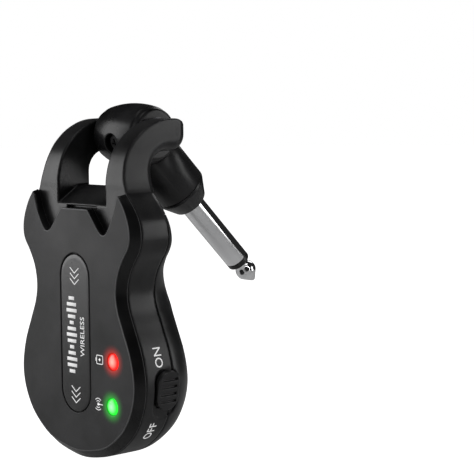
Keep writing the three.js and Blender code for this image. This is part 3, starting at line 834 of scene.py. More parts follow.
class Finish(Enum):
    """Every finish on the transmitter, named for what wears it."""

    # on the casing and the plug body the lighter edges are partly wear and partly a painted edge highlight
    CASING = Moulded(color=(0.0075, 0.0075, 0.008), roughness=0.33, edge_wear_and_highlight=(0.09, 0.09, 0.095), wear_and_highlight=0.4,
                     specular=0.42)
    # face: lighter at the top and darker at the bottom, a painted shade; its edge lines are a painted
    # highlight; its glow is the lamps' light painted round them
    FACE = Moulded(color=(0.056, 0.056, 0.0575), low_color=(0.022, 0.022, 0.023), roughness=0.5, grain=0.16,
                   edge_wear_and_highlight=(0.32, 0.32, 0.325), wear_and_highlight=0.0, line=0.8, specular=0.4,
                   glow=(((0.5, 0.02, 0.01), RED_AT), ((0.02, 0.4, 0.03), GREEN_AT)))
    # chamfer: glossier than the face, and darker, the dark colour a painted shade; its edge lines are a
    # painted highlight
    SHADED_CHAMFER = Moulded(color=(0.003, 0.003, 0.003), roughness=0.24, edge_wear_and_highlight=(0.3, 0.3, 0.31), wear_and_highlight=0.0,
                      line=0.9, grain=0.03, specular=0.3, dust=0.0)
    # inlay: lighter at the top and near black at the bottom, a painted gradient of reflected light and
    # shade
    INLAY = Moulded(color=(0.045, 0.045, 0.047), low_color=(0.004, 0.004, 0.004), fade=(-0.045, -0.006),
                    roughness=0.3, grain=0.02, wear_and_highlight=0.0, coat=0.25, drift=0.03)
    PLUG_BODY = Moulded(color=(0.0045, 0.0045, 0.005), roughness=0.27, edge_wear_and_highlight=(0.10, 0.10, 0.10), wear_and_highlight=0.35,
                        specular=0.3)
    RESIN = Moulded(color=(0.006, 0.006, 0.006), roughness=0.35, wear_and_highlight=0.2)
    # white print, made brighter by a painted glow
    INK = Moulded(color=(0.82, 0.82, 0.82), roughness=0.55, wear_and_highlight=0.0, grain=0.05, dust=0.0, painted_glow=0.55)
    CHROME = Plated((0.86, 0.865, 0.875), (0.66, 0.66, 0.67), roughness=0.07, drift=0.02, lines=0.004)
    STEEL = Plated((0.55, 0.555, 0.57), (0.36, 0.36, 0.37), roughness=0.3, lines=0.1)
    DARK_STEEL = Plated((0.09, 0.09, 0.095), (0.04, 0.04, 0.04), roughness=0.34, lines=0.08)
    GOLD = Plated((0.85, 0.6, 0.25), (0.6, 0.4, 0.16), roughness=0.22, lines=0.06)
    FOIL = Plated((0.52, 0.53, 0.55), (0.4, 0.4, 0.42), roughness=0.42, lines=0.3, line_scale=500.0)
    RED_LENS = Lit((1.0, 0.012, 0.008), (1.0, 0.32, 0.26), RED_AT)
    GREEN_LENS = Lit((0.012, 0.85, 0.03), (0.3, 1.0, 0.35), GREEN_AT)
    BOARD = Moulded(color=(0.012, 0.10, 0.04), low_color=(0.01, 0.07, 0.03), roughness=0.35, grain=0.25,
                    grain_scale=900.0, coat=0.3, wear_and_highlight=0.3, edge_wear_and_highlight=(0.5, 0.42, 0.2))
    FOAM = Moulded(color=(0.03, 0.03, 0.032), roughness=0.95, grain=0.9, grain_scale=1400.0, wear_and_highlight=0.1)
    IVORY = Moulded(color=(0.78, 0.74, 0.6), roughness=0.45, grain=0.1, wear_and_highlight=0.1, edge_wear_and_highlight=(0.9, 0.88, 0.8))
    CHIP = Moulded(color=(0.8, 0.78, 0.7), roughness=0.4, grain=0.05, wear_and_highlight=0.1, edge_wear_and_highlight=(0.9, 0.9, 0.85))
    RED_WIRE = Moulded(color=(0.5, 0.015, 0.01), roughness=0.42, grain=0.06, wear_and_highlight=0.1)
    BLACK_WIRE = Moulded(color=(0.012, 0.012, 0.012), roughness=0.45, grain=0.06, wear_and_highlight=0.1)


MATERIALS: dict[Finish, bpy.types.Material] = {}


def dress(piece: Object, finish: Finish) -> Object:
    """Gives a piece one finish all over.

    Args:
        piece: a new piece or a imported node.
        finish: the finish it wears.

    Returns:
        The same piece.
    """
    if finish not in MATERIALS:
        MATERIALS[finish] = finish.value.material(finish.name.lower())
    piece.data.materials.clear()
    piece.data.materials.append(MATERIALS[finish])
    return piece


def dress_where(piece: Object, finish: Finish, chosen: Callable[[Array, Array], Array]) -> Object:
    """Gives part of a piece a second finish.

    Args:
        piece: the piece, already dressed.
        finish: the finish for the chosen faces.
        chosen: tells from the faces' middles, in millimetres, and normals which ones take it.

    Returns:
        The same piece.
    """
    if finish not in MATERIALS:
        MATERIALS[finish] = finish.value.material(finish.name.lower())
    piece.data.materials.append(MATERIALS[finish])
    count = len(piece.data.polygons)
    centres, normals = np.empty(count * 3, np.float32), np.empty(count * 3, np.float32)
    piece.data.polygons.foreach_get("center", centres)
    piece.data.polygons.foreach_get("normal", normals)
    middles = (centres.reshape(-1, 3).astype(float) - DATUM) / MM
    mask = chosen(middles, normals.reshape(-1, 3).astype(float))
    piece.data.polygons.foreach_set("material_index", mask.astype(np.int32))
    return piece


# ---------------------------------------------------------------- the casing's solid form


@dataclass(frozen=True)
class CasingForm:
    """The casing's outer form, which its shell and its back share, and where the two part.

    Seen from the front it is a guitar with two arms. Seen from the side it has a flat front that curves
    back over the arms to the horns, and a back that is shallow behind the neck and deep behind the
    battery. The form is where the two views meet, with a small radius along the front edges and a large
    one along the rear edges.
    """

    arm_outer: tuple[tuple[float, float], ...] = (
        (17.4, 32.9), (16.75, 34.9), (16.3, 36.9), (15.85, 40), (15.7, 43), (15.7, 56))
    arm_front: tuple[tuple[float, float], ...] = (
        (2.8, 36.8), (3.5, 39.3), (4.7, 41.8), (6.6, 44.3), (9.5, 46.8), (12.9, 48.6), (16, 49.45),
        (19.8, 49.7))
    arm_starts: float = 34.5
    horn_y: float = 19.8
    horn_z: float = 45.7
    horn_radius: float = 4.0
    throat_radius: float = 5.5
    neck_depth: float = 12.4
    deep: float = 20.75
    shallow: float = 13.3
    half_slot: float = 9.5
    slot_floor: float = 28.7
    ramp: tuple[float, float] = (8.6, 33.0)
    front_radius: float = 0.4
    rear_radius: float = 2.7
    wall: float = 1.8

    def outline(self) -> Array:
        """The front view (x, z): the rim, then the arms' outer edges up past the horns."""
        arm = spline(self.arm_outer, 8)
        return np.vstack([RIM_PATH, arm, (arm * [-1.0, 1.0])[::-1]])

    def depth(self, z: Array) -> Array:
        """How far back the casing reaches at a height: two eased steps from the battery to the neck."""
        slope = (self.deep - self.shallow) * smoothstep(z, 3.0, 18.5)
        return self.deep - slope - (self.shallow - self.neck_depth) * smoothstep(z, 18.5, 28.0)

    def front_view_from_side(self) -> Array:
        """Side view (y, z) of all that lies behind the front: up the face, over the arms and down."""
        turn = np.linspace(0.5 * math.pi, 0.0, 10)[1:]
        horn = np.stack([self.horn_y + self.horn_radius * np.cos(turn),
                         self.horn_z + self.horn_radius * np.sin(turn)], axis=1)
        back = self.horn_y + self.horn_radius
        top = spline(((WALL_FRONT, self.arm_starts - 2), (WALL_FRONT, self.arm_starts), *self.arm_front), 8)
        return np.vstack([[[WALL_FRONT, -60.0]], top, horn, [[back, -60.0]]])

    def rear_view_from_side(self) -> Array:
        """Side view (y, z) of all that lies before the rear: horn, throat, neck and back."""
        low = np.linspace(0.0, -0.5 * math.pi, 14)
        horn = np.stack([self.horn_y + self.horn_radius * np.cos(low),
                         self.horn_z + self.horn_radius * np.sin(low)], axis=1)
        turn = np.linspace(0.5 * math.pi, math.pi, 18)
        throat_z = self.horn_z - self.horn_radius - self.throat_radius
        throat = np.stack([self.neck_depth + self.throat_radius * (1.0 + np.cos(turn)),
                           throat_z + self.throat_radius * np.sin(turn)], axis=1)
        z = np.linspace(28.0, -2.0, 61)
        back = np.stack([self.depth(z), z], axis=1)
        far = self.horn_y + self.horn_radius
        return np.vstack([[[-60.0, 80.0], [far, 80.0]], horn, throat, back,
                          [[self.deep, -60.0], [-60.0, -60.0]]])

    def field(self, x: Array, y: Array, z: Array) -> Array:
        """Signed distance to the whole form, less than zero inside."""
        seen = distance(x, z, OUTLINE)
        before = distance(y, z, SIDE_FRONT)
        behind = distance(y, z, SIDE_REAR)
        front_radius = 0.12 + (self.front_radius - 0.12) * smoothstep(z, 27.0, 33.0)
        rear_radius = self.rear_radius + np.maximum(self.depth(z) - 13.4, 0.0)
        form = np.maximum(meet(seen, before, front_radius), meet(seen, behind, rear_radius))
        slot = np.maximum(np.abs(x) - self.half_slot, distance(y, z, SLOT_SIDE))
        groove = np.maximum(np.maximum(np.abs(x) - 5.9, np.abs(z - 28.05) - 0.42), y - 3.9)
        return cut(cut(form, slot, 0.35), groove, 0.08)

    def slot_side(self) -> Array:
        """Side view (y, z) of the space between the arms: its floor, a ramp and the open top."""
        return np.array([(-20, self.slot_floor), (WALL_FRONT, self.slot_floor), self.ramp,
                         (60, self.ramp[1]), (60, 90), (-20, 90)], float)


FORM = CasingForm()
OUTLINE = FORM.outline()
SIDE_FRONT = FORM.front_view_from_side()
SIDE_REAR = FORM.rear_view_from_side()
SLOT_SIDE = FORM.slot_side()


@dataclass(frozen=True)
class WallFrame:
    """A place on the casing's wall: its middle, and how far it leans from upright."""

    x: float
    y: float
    z: float
    turn: float

    def local(self, x: Array, y: Array, z: Array) -> tuple[Array, Array, Array]:
        """Out of the wall, back and up along it, from this place's middle."""
        cosine, sine = math.cos(self.turn), math.sin(self.turn)
        across, rise = x - self.x, z - self.z
        return across * cosine - rise * sine, y - self.y, across * sine + rise * cosine

    def world(self, points: Array) -> Array:
        """Takes points given as out, back and up into the casing's own millimetres."""
        cosine, sine = math.cos(self.turn), math.sin(self.turn)
        out, back, up = points.T
        return np.stack([self.x + out * cosine + up * sine, self.y + back,
                         self.z - out * sine + up * cosine], axis=1)


def pill_field(across: Array, along: Array, radius: float, low: float, high: float) -> Array:
    """Signed distance to a straight-sided slot with round ends."""
    nearest = np.clip(along, low + radius, high - radius)
    return np.sqrt(across**2 + (along - nearest) ** 2) - radius


@dataclass(frozen=True)
class PowerSwitch:
    """The sliding power knob in its pocket on the right wall."""

    place: WallFrame = WallFrame(24.35, 8.8, -15.1, math.radians(8.5))
    half_width: float = 3.35
    half_length: float = 4.9
    travel: float = 2.0
    pocket_depth: float = 1.05
    cap_top: float = 0.85
    rib_pitch: float = 1.8

    def pocket(self, x: Array, y: Array, z: Array) -> Array:
        """The pocket the knob slides in, with the window its stem goes through."""
        out, back, up = self.place.local(x, y, z)
        mouth = pill_field(back, up, self.half_width + 0.4, -self.half_length - self.travel - 0.5,
                           self.half_length + 0.4)
        floor = np.maximum(mouth, -self.pocket_depth - out)
        stem = np.maximum(np.abs(back) - 1.9, np.maximum(-up - 4.4, up - 2.4))
        return np.minimum(floor, np.maximum(np.maximum(stem, -6.0 - out), out - 1.0))

    def knob_field(self, out: Array, back: Array, up: Array) -> Array:
        """A pill-shaped cap that is slightly dished, with raised ribs across it, on a square stem."""
        cap = pill_field(back, up, self.half_width, -self.half_length, self.half_length)
        crown = self.cap_top - 0.012 * back**2
        cap = meet(cap, np.maximum(out - crown, -0.65 - out), 0.28)
        groove = np.abs((up / self.rib_pitch) % 1.0 - 0.5) * self.rib_pitch - 0.34
        inside = np.maximum(np.abs(back) - 2.45, np.abs(up) - 3.7)
        cap = cut(cap, np.maximum(np.maximum(groove, inside), 0.2 - out), 0.12)
        stem = np.maximum(np.maximum(np.abs(back) - 1.5, np.abs(up) - 2.0),
                          np.maximum(-3.6 - out, out))
        return np.minimum(cap, stem)

    def build(self) -> Object:
        """Builds the knob in its own frame and sets it in the wall."""
        low = np.array([-3.8, -3.6, -5.2])
        high = np.array([1.1, 3.6, 5.2])
        points, faces = level_skin(self.knob_field, low, high, 0.14)
        knob = build("ribbed_slide_knob", self.place.world(points), [faces], Body.SWITCH)
        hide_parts("switch_knob")
        return dress(knob, Finish.CASING)


@dataclass(frozen=True)
class ChargePort:
    """The charging port on the left wall: a recess with a metal mouth round a contact tongue."""

    place: WallFrame = WallFrame(-20.85, 7.7, 26.4, math.pi + math.radians(28.7))
    half_length: float = 4.45
    half_width: float = 1.6
    shell_depth: float = 7.0

    def opening(self, x: Array, y: Array, z: Array) -> Array:
        """The hole for the metal mouth and the shallow recess round it."""
        out, back, up = self.place.local(x, y, z)
        reach = self.half_length + 0.3
        mouth = np.maximum(pill_field(back, up, self.half_width + 0.3, -reach, reach), -12.0 - out)
        ring = pill_field(back, up, self.half_width + 0.75, -reach - 0.45, reach + 0.45)
        return np.minimum(mouth, np.maximum(ring, -0.45 - out))

    def build(self) -> Object:
        """The mouth is a rolled metal lip carried round a pill and drawn back into a sleeve."""
        section = rounded(((-0.35, -self.shell_depth, 0), (-0.35, -0.42, 0.12), (0.0, -0.42, 0.12),
                           (0.0, -self.shell_depth, 0), (-0.35, -self.shell_depth, 0)))
        rings = [pill(self.half_width + inset, -self.half_length - inset, self.half_length + inset)
                 for inset in section[:, 0]]
        grid = np.stack([np.column_stack([np.full(len(r), depth), r])
                         for r, depth in zip(rings, section[:, 1])])
        faces = grid_faces(len(rings), grid.shape[1], False, True)
        mouth = build("port_mouth", self.place.world(grid.reshape(-1, 3)), [faces], Body.CASING)
        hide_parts("charge_port_shell")
        return dress(mouth, Finish.STEEL)


@dataclass(frozen=True)
class Shell:
    """The main shell, with the side wall, the front deck and the forked neck."""

    switch: PowerSwitch = PowerSwitch()
    port: ChargePort = ChargePort()
    pitch: float = 0.34
    deck_top: float = 19.5
    deck_inset: float = 2.6
    deck_back: float = 4.2
    roof: float = 25.0
    bore: float = 2.8
    bore_end: float = 14.5

    def field(self, x: Array, y: Array, z: Array) -> Array:
        """The casing's form before the parting line, hollowed, with its openings."""
        form = FORM.field(x, y, z)
        parting = np.minimum(y - PARTING + SEAM, NECK + SEAM - z)
        seen = distance(x, z, OUTLINE)
        room = np.maximum(np.maximum(seen + FORM.wall, z - self.roof), self.deck_back - y)
        mouth = np.maximum(np.maximum(seen + self.deck_inset, z - self.deck_top), y - self.deck_back - 0.3)
        hinge = np.maximum(np.hypot(y - SWIVEL.y, z - SWIVEL.z) - self.bore, np.abs(x) - self.bore_end)
        solid = cut(meet(form, parting, 0.1), np.minimum(room, mouth), 0.1)
        solid = cut(solid, np.minimum(self.switch.pocket(x, y, z), self.port.opening(x, y, z)), 0.22)
        return cut(solid, hinge, 0.2)

    def build(self) -> Object:
        """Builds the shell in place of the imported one."""
        low, high = np.array([-25.6, WALL_FRONT, -34.6]), np.array([25.6, 24.0, 50.0])
        points, faces = level_skin(self.field, low, high, self.pitch)
        shell = build("fork_shell", points, [faces], Body.CASING)
        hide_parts("main_shell")
        return dress(shell, Finish.CASING)


@dataclass(frozen=True)
class Back:
    """The rounded back over the battery, behind the parting line."""

    switch: PowerSwitch = PowerSwitch()
    pitch: float = 0.36

    def field(self, x: Array, y: Array, z: Array) -> Array:
        """The casing's form behind the parting line, hollowed to the wall's thickness."""
        form = FORM.field(x, y, z)
        parting = np.maximum(PARTING + SEAM - y, z - NECK + SEAM)
        room = np.maximum(form + FORM.wall, z - NECK + FORM.wall)
        solid = cut(meet(form, parting, 0.1), room, 0.1)
        return cut(solid, self.switch.pocket(x, y, z), 0.22)

    def build(self) -> Object:
        """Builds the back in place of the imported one."""
        low, high = np.array([-25.6, PARTING, -34.6]), np.array([25.6, 21.0, NECK])
        points, faces = level_skin(self.field, low, high, self.pitch)
        back = build("rounded_back", points, [faces], Body.CASING)
        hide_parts("back_cover")
        return dress(back, Finish.CASING)


# ---------------------------------------------------------------- the front cover and what it carries


@dataclass(frozen=True)
class Inlay:
    """The glossy pill-shaped plate in the face and the recess it lies in."""

    radius: float = 5.65
    low: float = -22.6
    high: float = 16.6
    gap: float = 0.28
    recess: float = 0.8
    rise: float = 0.05

    def build(self) -> Object:
        """The plate is its own outline drawn in and lifted, ring by ring, to a soft edge."""
        turn = np.linspace(0.0, 0.5 * math.pi, 5)
        inset = np.concatenate([[0.0], 0.3 * (1.0 - np.cos(turn)), [1.2]])
        depth = np.concatenate([[self.recess - 0.05], 0.3 - 0.3 * np.sin(turn), [-self.rise + 0.05]])
        rings = [pill(self.radius - i, self.low + i, self.high - i, 32) for i in inset]
        points, faces = stacked(rings, depth)
        last = (len(rings) - 1) * len(rings[0])
        ends = [fill([rings[0]], [0]), fill([rings[-1]], [last])]
        plate = build("inlay_plate", points, [faces, *ends], Body.CASING)
        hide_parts("name_plate")
        return dress(plate, Finish.INLAY)


def stacked(rings: Sequence[Array], depths: Sequence[float]) -> tuple[Array, Array]:
    """Rings of points (x, z) set at depths behind the face and joined into a skin."""
    rows = [np.column_stack([r[:, 0], np.full(len(r), d), r[:, 1]]) for r, d in zip(rings, depths)]
    return np.vstack(rows), grid_faces(len(rings), len(rings[0]), False, True)


@dataclass(frozen=True)
class Lights:
    """The battery light and the signal light, at their places on the face."""

    radius: float = 1.95
    red: tuple[float, float] = RED_AT
    green: tuple[float, float] = GREEN_AT
    gap: float = 0.22

    def build(self) -> list[Object]:
        """Each lens is a low dome turned about its own middle, with a flange behind the cover."""
        flange = [[self.radius, 0.3], [self.radius, 2.6], [2.6, 2.6], [2.6, 3.1], [0.0, 3.1]]
        profile = np.vstack([dome(self.radius, 0.5, 10), flange])
        lenses = []
        for name, packed, place, finish in (
            ("battery_light", "battery_led_lens", self.red, Finish.RED_LENS),
            ("signal_light", "signal_led_lens", self.green, Finish.GREEN_LENS),
        ):
            rings = [circle(r, *place) for r in profile[:, 0]]
            points, faces = stacked(rings, profile[:, 1])
            lens = build(name, points, [faces], Body.CASING)
            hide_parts(packed)
            lenses.append(dress(lens, finish))
        return lenses


def dome(radius: float, height: float, steps: int) -> Array:
    """A profile (radius, depth) from the middle of a low dome to its edge: a quarter of an ellipse."""
    turn = np.linspace(0.0, 0.5 * math.pi, steps)
    return np.stack([radius * np.sin(turn), 0.3 - height * np.cos(turn)], axis=1)


@dataclass(frozen=True)
class Cover:
    """The front cover: a flat face, a chamfer out to the rim, two notches, a tab and three openings."""

    inlay: Inlay = Inlay()
    lights: Lights = Lights()
    edge: float = 0.22
    back: float = COVER_DEPTH

    def outline(self) -> tuple[Array, Array]:
        """The face's closed outline, and how far each point moves outwards to reach the rim."""
        notch = spline(NOTCH, 8)
        tab = np.linspace(notch[-1], notch[-1] * [-1.0, 1.0], 14)[1:-1]
        rest = np.vstack([notch, tab, (notch * [-1.0, 1.0])[::-1]])
        return np.vstack([FACE_PATH, rest]), np.vstack([RIM_STEP, np.zeros_like(rest)])

    def build(self) -> Object:
        """Rings of the outline run from the face over a rounded edge, down the chamfer and round the
        rim; the openings are walls of their own, and flat fills close the face and the rear."""
        base, spread = self.outline()
        ahead = np.roll(base, -1, axis=0) - np.roll(base, 1, axis=0)
        ahead /= np.linalg.norm(ahead, axis=1, keepdims=True)
        normal = np.stack([ahead[:, 1], -ahead[:, 0]], axis=1)
        rows = ((0.30, 0.0, 0.0), (0.17, 0.0, 0.02), (0.07, 0.03, 0.08), (0.0, 0.09, 0.2),
                (0.0, 0.5, 1.15), (0.0, 0.93, 2.08), (0.0, 0.99, 2.2), (0.06, 1.0, 2.27),
                (0.16, 1.0, self.back), (1.2, 1.0, self.back))
        rings = [base - normal * inset + spread * share for inset, share, _ in rows]
        points, faces = stacked(rings, [depth for *_, depth in rows])
        front = [rings[0], *self.mouths(self.edge)]
        walls, skins, numbers, rear = [points], [faces], [0], [(rings[-1], len(points) - len(base))]
        first = len(points)
        for index, mouth in enumerate(self.mouths(self.edge)):
            depths = [0.0, 0.03, 0.1, 0.24, self.inlay.recess if index == 0 else self.back]
            insets = [self.edge, 0.1, 0.03, 0.0, 0.0]
            walls_here = [self.mouths(i)[index] for i in insets]
            more, skin = stacked(walls_here, depths)
            walls.append(more)
            skins.append(skin + first)
            numbers.append(first)
            last = first + 4 * len(mouth)
            if index == 0:
                skins.append(fill([walls_here[-1]], [last]))
            else:
                rear.append((walls_here[-1], last))
            first += len(more)
        skins.append(fill(front, numbers))
        skins.append(fill([r for r, _ in rear], [n for _, n in rear]))
        # painted highlight lines: full on the face's rounded edge rows, 0.8 on the rim's rounded edge rows
        lines = np.zeros(first)
        rim = len(base)
        lines[rim : 3 * rim] = 1.0
        lines[6 * rim : 8 * rim] = 0.8
        cover = build("face_cover", np.vstack(walls), skins, Body.CASING, lines)
        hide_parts("front_cover")
        dress(cover, Finish.FACE)
        # the chamfer and rim take the darker, glossier finish whose dark colour is a painted shade
        return dress_where(cover, Finish.SHADED_CHAMFER, self.on_chamfer)

    def on_chamfer(self, centres: Array, normals: Array) -> Array:
        """Which faces belong to the chamfer, the rim and the notch walls: all that lean off the face."""
        outer = distance(centres[:, 0], centres[:, 2], self.outline()[0]) > -0.35
        return outer & (np.abs(normals[:, 1]) < 0.93)

    def mouths(self, spread: float) -> list[Array]:
        """The three openings in the face, widened by spread: the inlay's recess and the two lights."""
        inlay, lights = self.inlay, self.lights
        wide = inlay.gap + spread
        hole = lights.radius + lights.gap + spread
        return [pill(inlay.radius + wide, inlay.low - wide, inlay.high + wide, 32),
                circle(hole, *lights.red), circle(hole, *lights.green)]


# ---------------------------------------------------------------- printed marks


INK_DEPTH = 0.03


def ribbon(path: Sequence[Sequence[float]], width: float, closed: bool = False) -> tuple[Array, Array]:
    """A flat inked line: a thin rectangular section carried along a path (x, z) with mitred corners.

    Args:
        path: the line's middle.
        width: how wide it is.
        closed: whether it joins its own start.

    Returns:
        The corners as (x, level, z), level 0 or 1 for the under and upper side, and the faces.
    """
    line = np.asarray(path, float)
    ahead = (np.roll(line, -1, axis=0) - line) if closed else np.diff(line, axis=0)
    ahead /= np.linalg.norm(ahead, axis=1, keepdims=True)
    into = np.roll(ahead, 1, axis=0) if closed else np.vstack([ahead[:1], ahead])
    out = ahead if closed else np.vstack([ahead, ahead[-1:]])
    middle = into + out
    middle /= np.linalg.norm(middle, axis=1, keepdims=True)
    reach = 0.5 * width / np.maximum((middle * into).sum(axis=1), 0.3)
    side = np.stack([-middle[:, 1], middle[:, 0]], axis=1) * reach[:, None]
    corners = [(line + side, 0.0), (line - side, 0.0), (line - side, 1.0), (line + side, 1.0)]
    rows = np.stack([np.column_stack([c[:, 0], np.full(len(c), level), c[:, 1]]) for c, level in corners],
                    axis=1)
    faces = grid_faces(len(line), 4, closed, True)
    if not closed:
        last = 4 * (len(line) - 1)
        faces = np.vstack([faces, [[0, 1, 2, 3]], [[last + 3, last + 2, last + 1, last]]])
    return rows.reshape(-1, 3), faces


def lettering(text: str, height: float, weight: float = 0.0) -> tuple[Array, Array]:
    """Plain lettering as thin triangles in (along, level, up), centred on the origin.

    Args:
        text: the word.
        height: its type size.
        weight: how much bolder than the plain face.

    Returns:
        The corners and the triangles.
    """
    curve = bpy.data.curves.new(text, "FONT")
    curve.body = text
    curve.size = height
    curve.offset = weight
    curve.extrude = 0.5
    curve.align_x, curve.align_y = "CENTER", "CENTER"
    curve.resolution_u = 3
    holder = bpy.data.objects.new(text, curve)
    bpy.context.scene.collection.objects.link(holder)
    bpy.context.view_layer.update()
    mesh = bpy.data.meshes.new_from_object(holder.evaluated_get(bpy.context.evaluated_depsgraph_get()))
    mesh.calc_loop_triangles()
    flat = np.empty(len(mesh.vertices) * 3, dtype=np.float32)
    mesh.vertices.foreach_get("co", flat)
    sides = np.empty(len(mesh.loop_triangles) * 3, dtype=np.int32)
    mesh.loop_triangles.foreach_get("vertices", sides)
    bpy.data.objects.remove(holder)
    bpy.data.meshes.remove(mesh)
    bpy.data.curves.remove(curve)
    flat = flat.reshape(-1, 3).astype(float)
    points = np.column_stack([flat[:, 0], flat[:, 2] + 0.5, flat[:, 1]])
    return points, sides.reshape(-1, 3).astype(np.int64)


def gathered(parts: Sequence[tuple[Array, Array]]) -> tuple[Array, list[Array]]:
    """Puts several sets of corners and faces into one."""
    starts = np.cumsum([0] + [len(points) for points, _ in parts[:-1]])
    return np.vstack([points for points, _ in parts]), [f + s for (_, f), s in zip(parts, starts)]


@dataclass(frozen=True)
class Marks:
    """White print: arrows, level bars and a word on the inlay, a sign by each light, and the switch's
    two places."""

    inlay: Inlay = Inlay()
    lights: Lights = Lights()
    line: float = 0.24
    bar_count: int = 13
    bar_x: float = -1.35

    def on_inlay(self) -> Object:
        """Three arrows at each end of the inlay, with the bars and the word between them."""
        parts = []
        for foot in (11.9, 10.5, 9.1, -17.6, -19.0, -20.4):
            arrow = [(-1.75, foot + 1.35), (0.0, foot), (1.75, foot + 1.35)]
            parts.append(ribbon(arrow, self.line))
        parts.extend(self.bars())
        word, faces = lettering("WIRELESS", 2.3)
        turned = np.column_stack([2.95 - word[:, 2], word[:, 1], word[:, 0] - 3.6])
        parts.append((turned, faces))
        points, faces = gathered(parts)
        points[:, 1] = -self.inlay.rise - INK_DEPTH * points[:, 1]
        return dress(build("inlay_marks", points, faces, Body.CASING), Finish.INK)

    def bars(self) -> list[tuple[Array, Array]]:
        """A row of level bars up the inlay, whose lengths rise and fall like a plucked note."""
        heights = np.linspace(-12.6, 5.6, self.bar_count)
        swing = np.abs(np.sin(np.linspace(0.35, 2.9 * math.pi, self.bar_count)))
        lengths = 1.3 + 2.8 * swing
        return [ribbon([(self.bar_x - reach / 2, z), (self.bar_x + reach / 2, z)], 0.85)
                for z, reach in zip(heights, lengths)]

    def by_lights(self) -> Object:
        """A battery beside the red light and a mast with waves beside the green one, read upwards."""
        case = rounded(((0, -1.2, 0), (1.05, -1.2, 0.3), (1.05, 1.2, 0.3), (-1.05, 1.2, 0.3),
                        (-1.05, -1.2, 0.3), (-0.02, -1.2, 0)), 3)
        battery = [(case, 0.22, True), ([(-0.4, 1.45), (0.4, 1.45)], 0.26, False),
                   ([(-0.4, 0.0), (0.4, 0.0)], 0.26, False), ([(0.0, -0.4), (0.0, 0.4)], 0.26, False)]
        mast = [([(0.0, -1.5), (0.0, 0.2)], 0.26, False), (circle(0.22, 0.0, 0.3, 12), 0.3, True)]
        for reach in (0.85, 1.45):
            for side in (0.0, math.pi):
                turn = np.linspace(-0.8, 0.8, 9) + side
                wave = np.stack([reach * np.cos(turn), 0.3 + reach * np.sin(turn)], axis=1)
                mast.append((wave, 0.2, False))
        parts = []
        for strokes, (x, z) in ((battery, self.lights.red), (mast, self.lights.green)):
            for path, width, closed in strokes:
                across, up = np.asarray(path, float).T
                parts.append(ribbon(np.stack([x - 5.0 - up, z + across], axis=1), width, closed))
        points, faces = gathered(parts)
        points[:, 1] = -INK_DEPTH * points[:, 1]
        return dress(build("light_signs", points, faces, Body.CASING), Finish.INK)

    def by_switch(self) -> Object:
        """The words ON and OFF, read up the wall and laid on its curve."""
        parts = [self.on_wall("ON", 3.3, -7.1, 7.0), self.on_wall("OFF", 3.3, -25.6, 6.9)]
        points, faces = gathered(parts)
        return dress(build("switch_words", points, faces, Body.CASING), Finish.INK)

    def on_wall(self, text: str, height: float, z: float, y: float) -> tuple[Array, Array]:
        """Lettering laid along the rim, from the point of the rim at height z, centred at depth y."""
        flat, faces = lettering(text, height)
        right = RIM_PATH[RIM_PATH[:, 0] > 0.0]
        normal = outward(right)
        run = np.concatenate([[0.0], np.cumsum(np.linalg.norm(np.diff(right, axis=0), axis=1))])
        centre = float(np.interp(z, right[:, 1], run))
        place = centre + flat[:, 0]
        spot = np.stack([np.interp(place, run, right[:, k]) for k in (0, 1)], axis=1)
        lift = np.stack([np.interp(place, run, normal[:, k]) for k in (0, 1)], axis=1)
        spot = spot + lift * (0.01 + INK_DEPTH * flat[:, 1:2])
        return np.column_stack([spot[:, 0], y - flat[:, 2], spot[:, 1]]), faces

    def build(self) -> list[Object]:
        """Builds the three sets of marks."""
        return [self.on_inlay(), self.by_lights(), self.by_switch()]


# ---------------------------------------------------------------- the plug


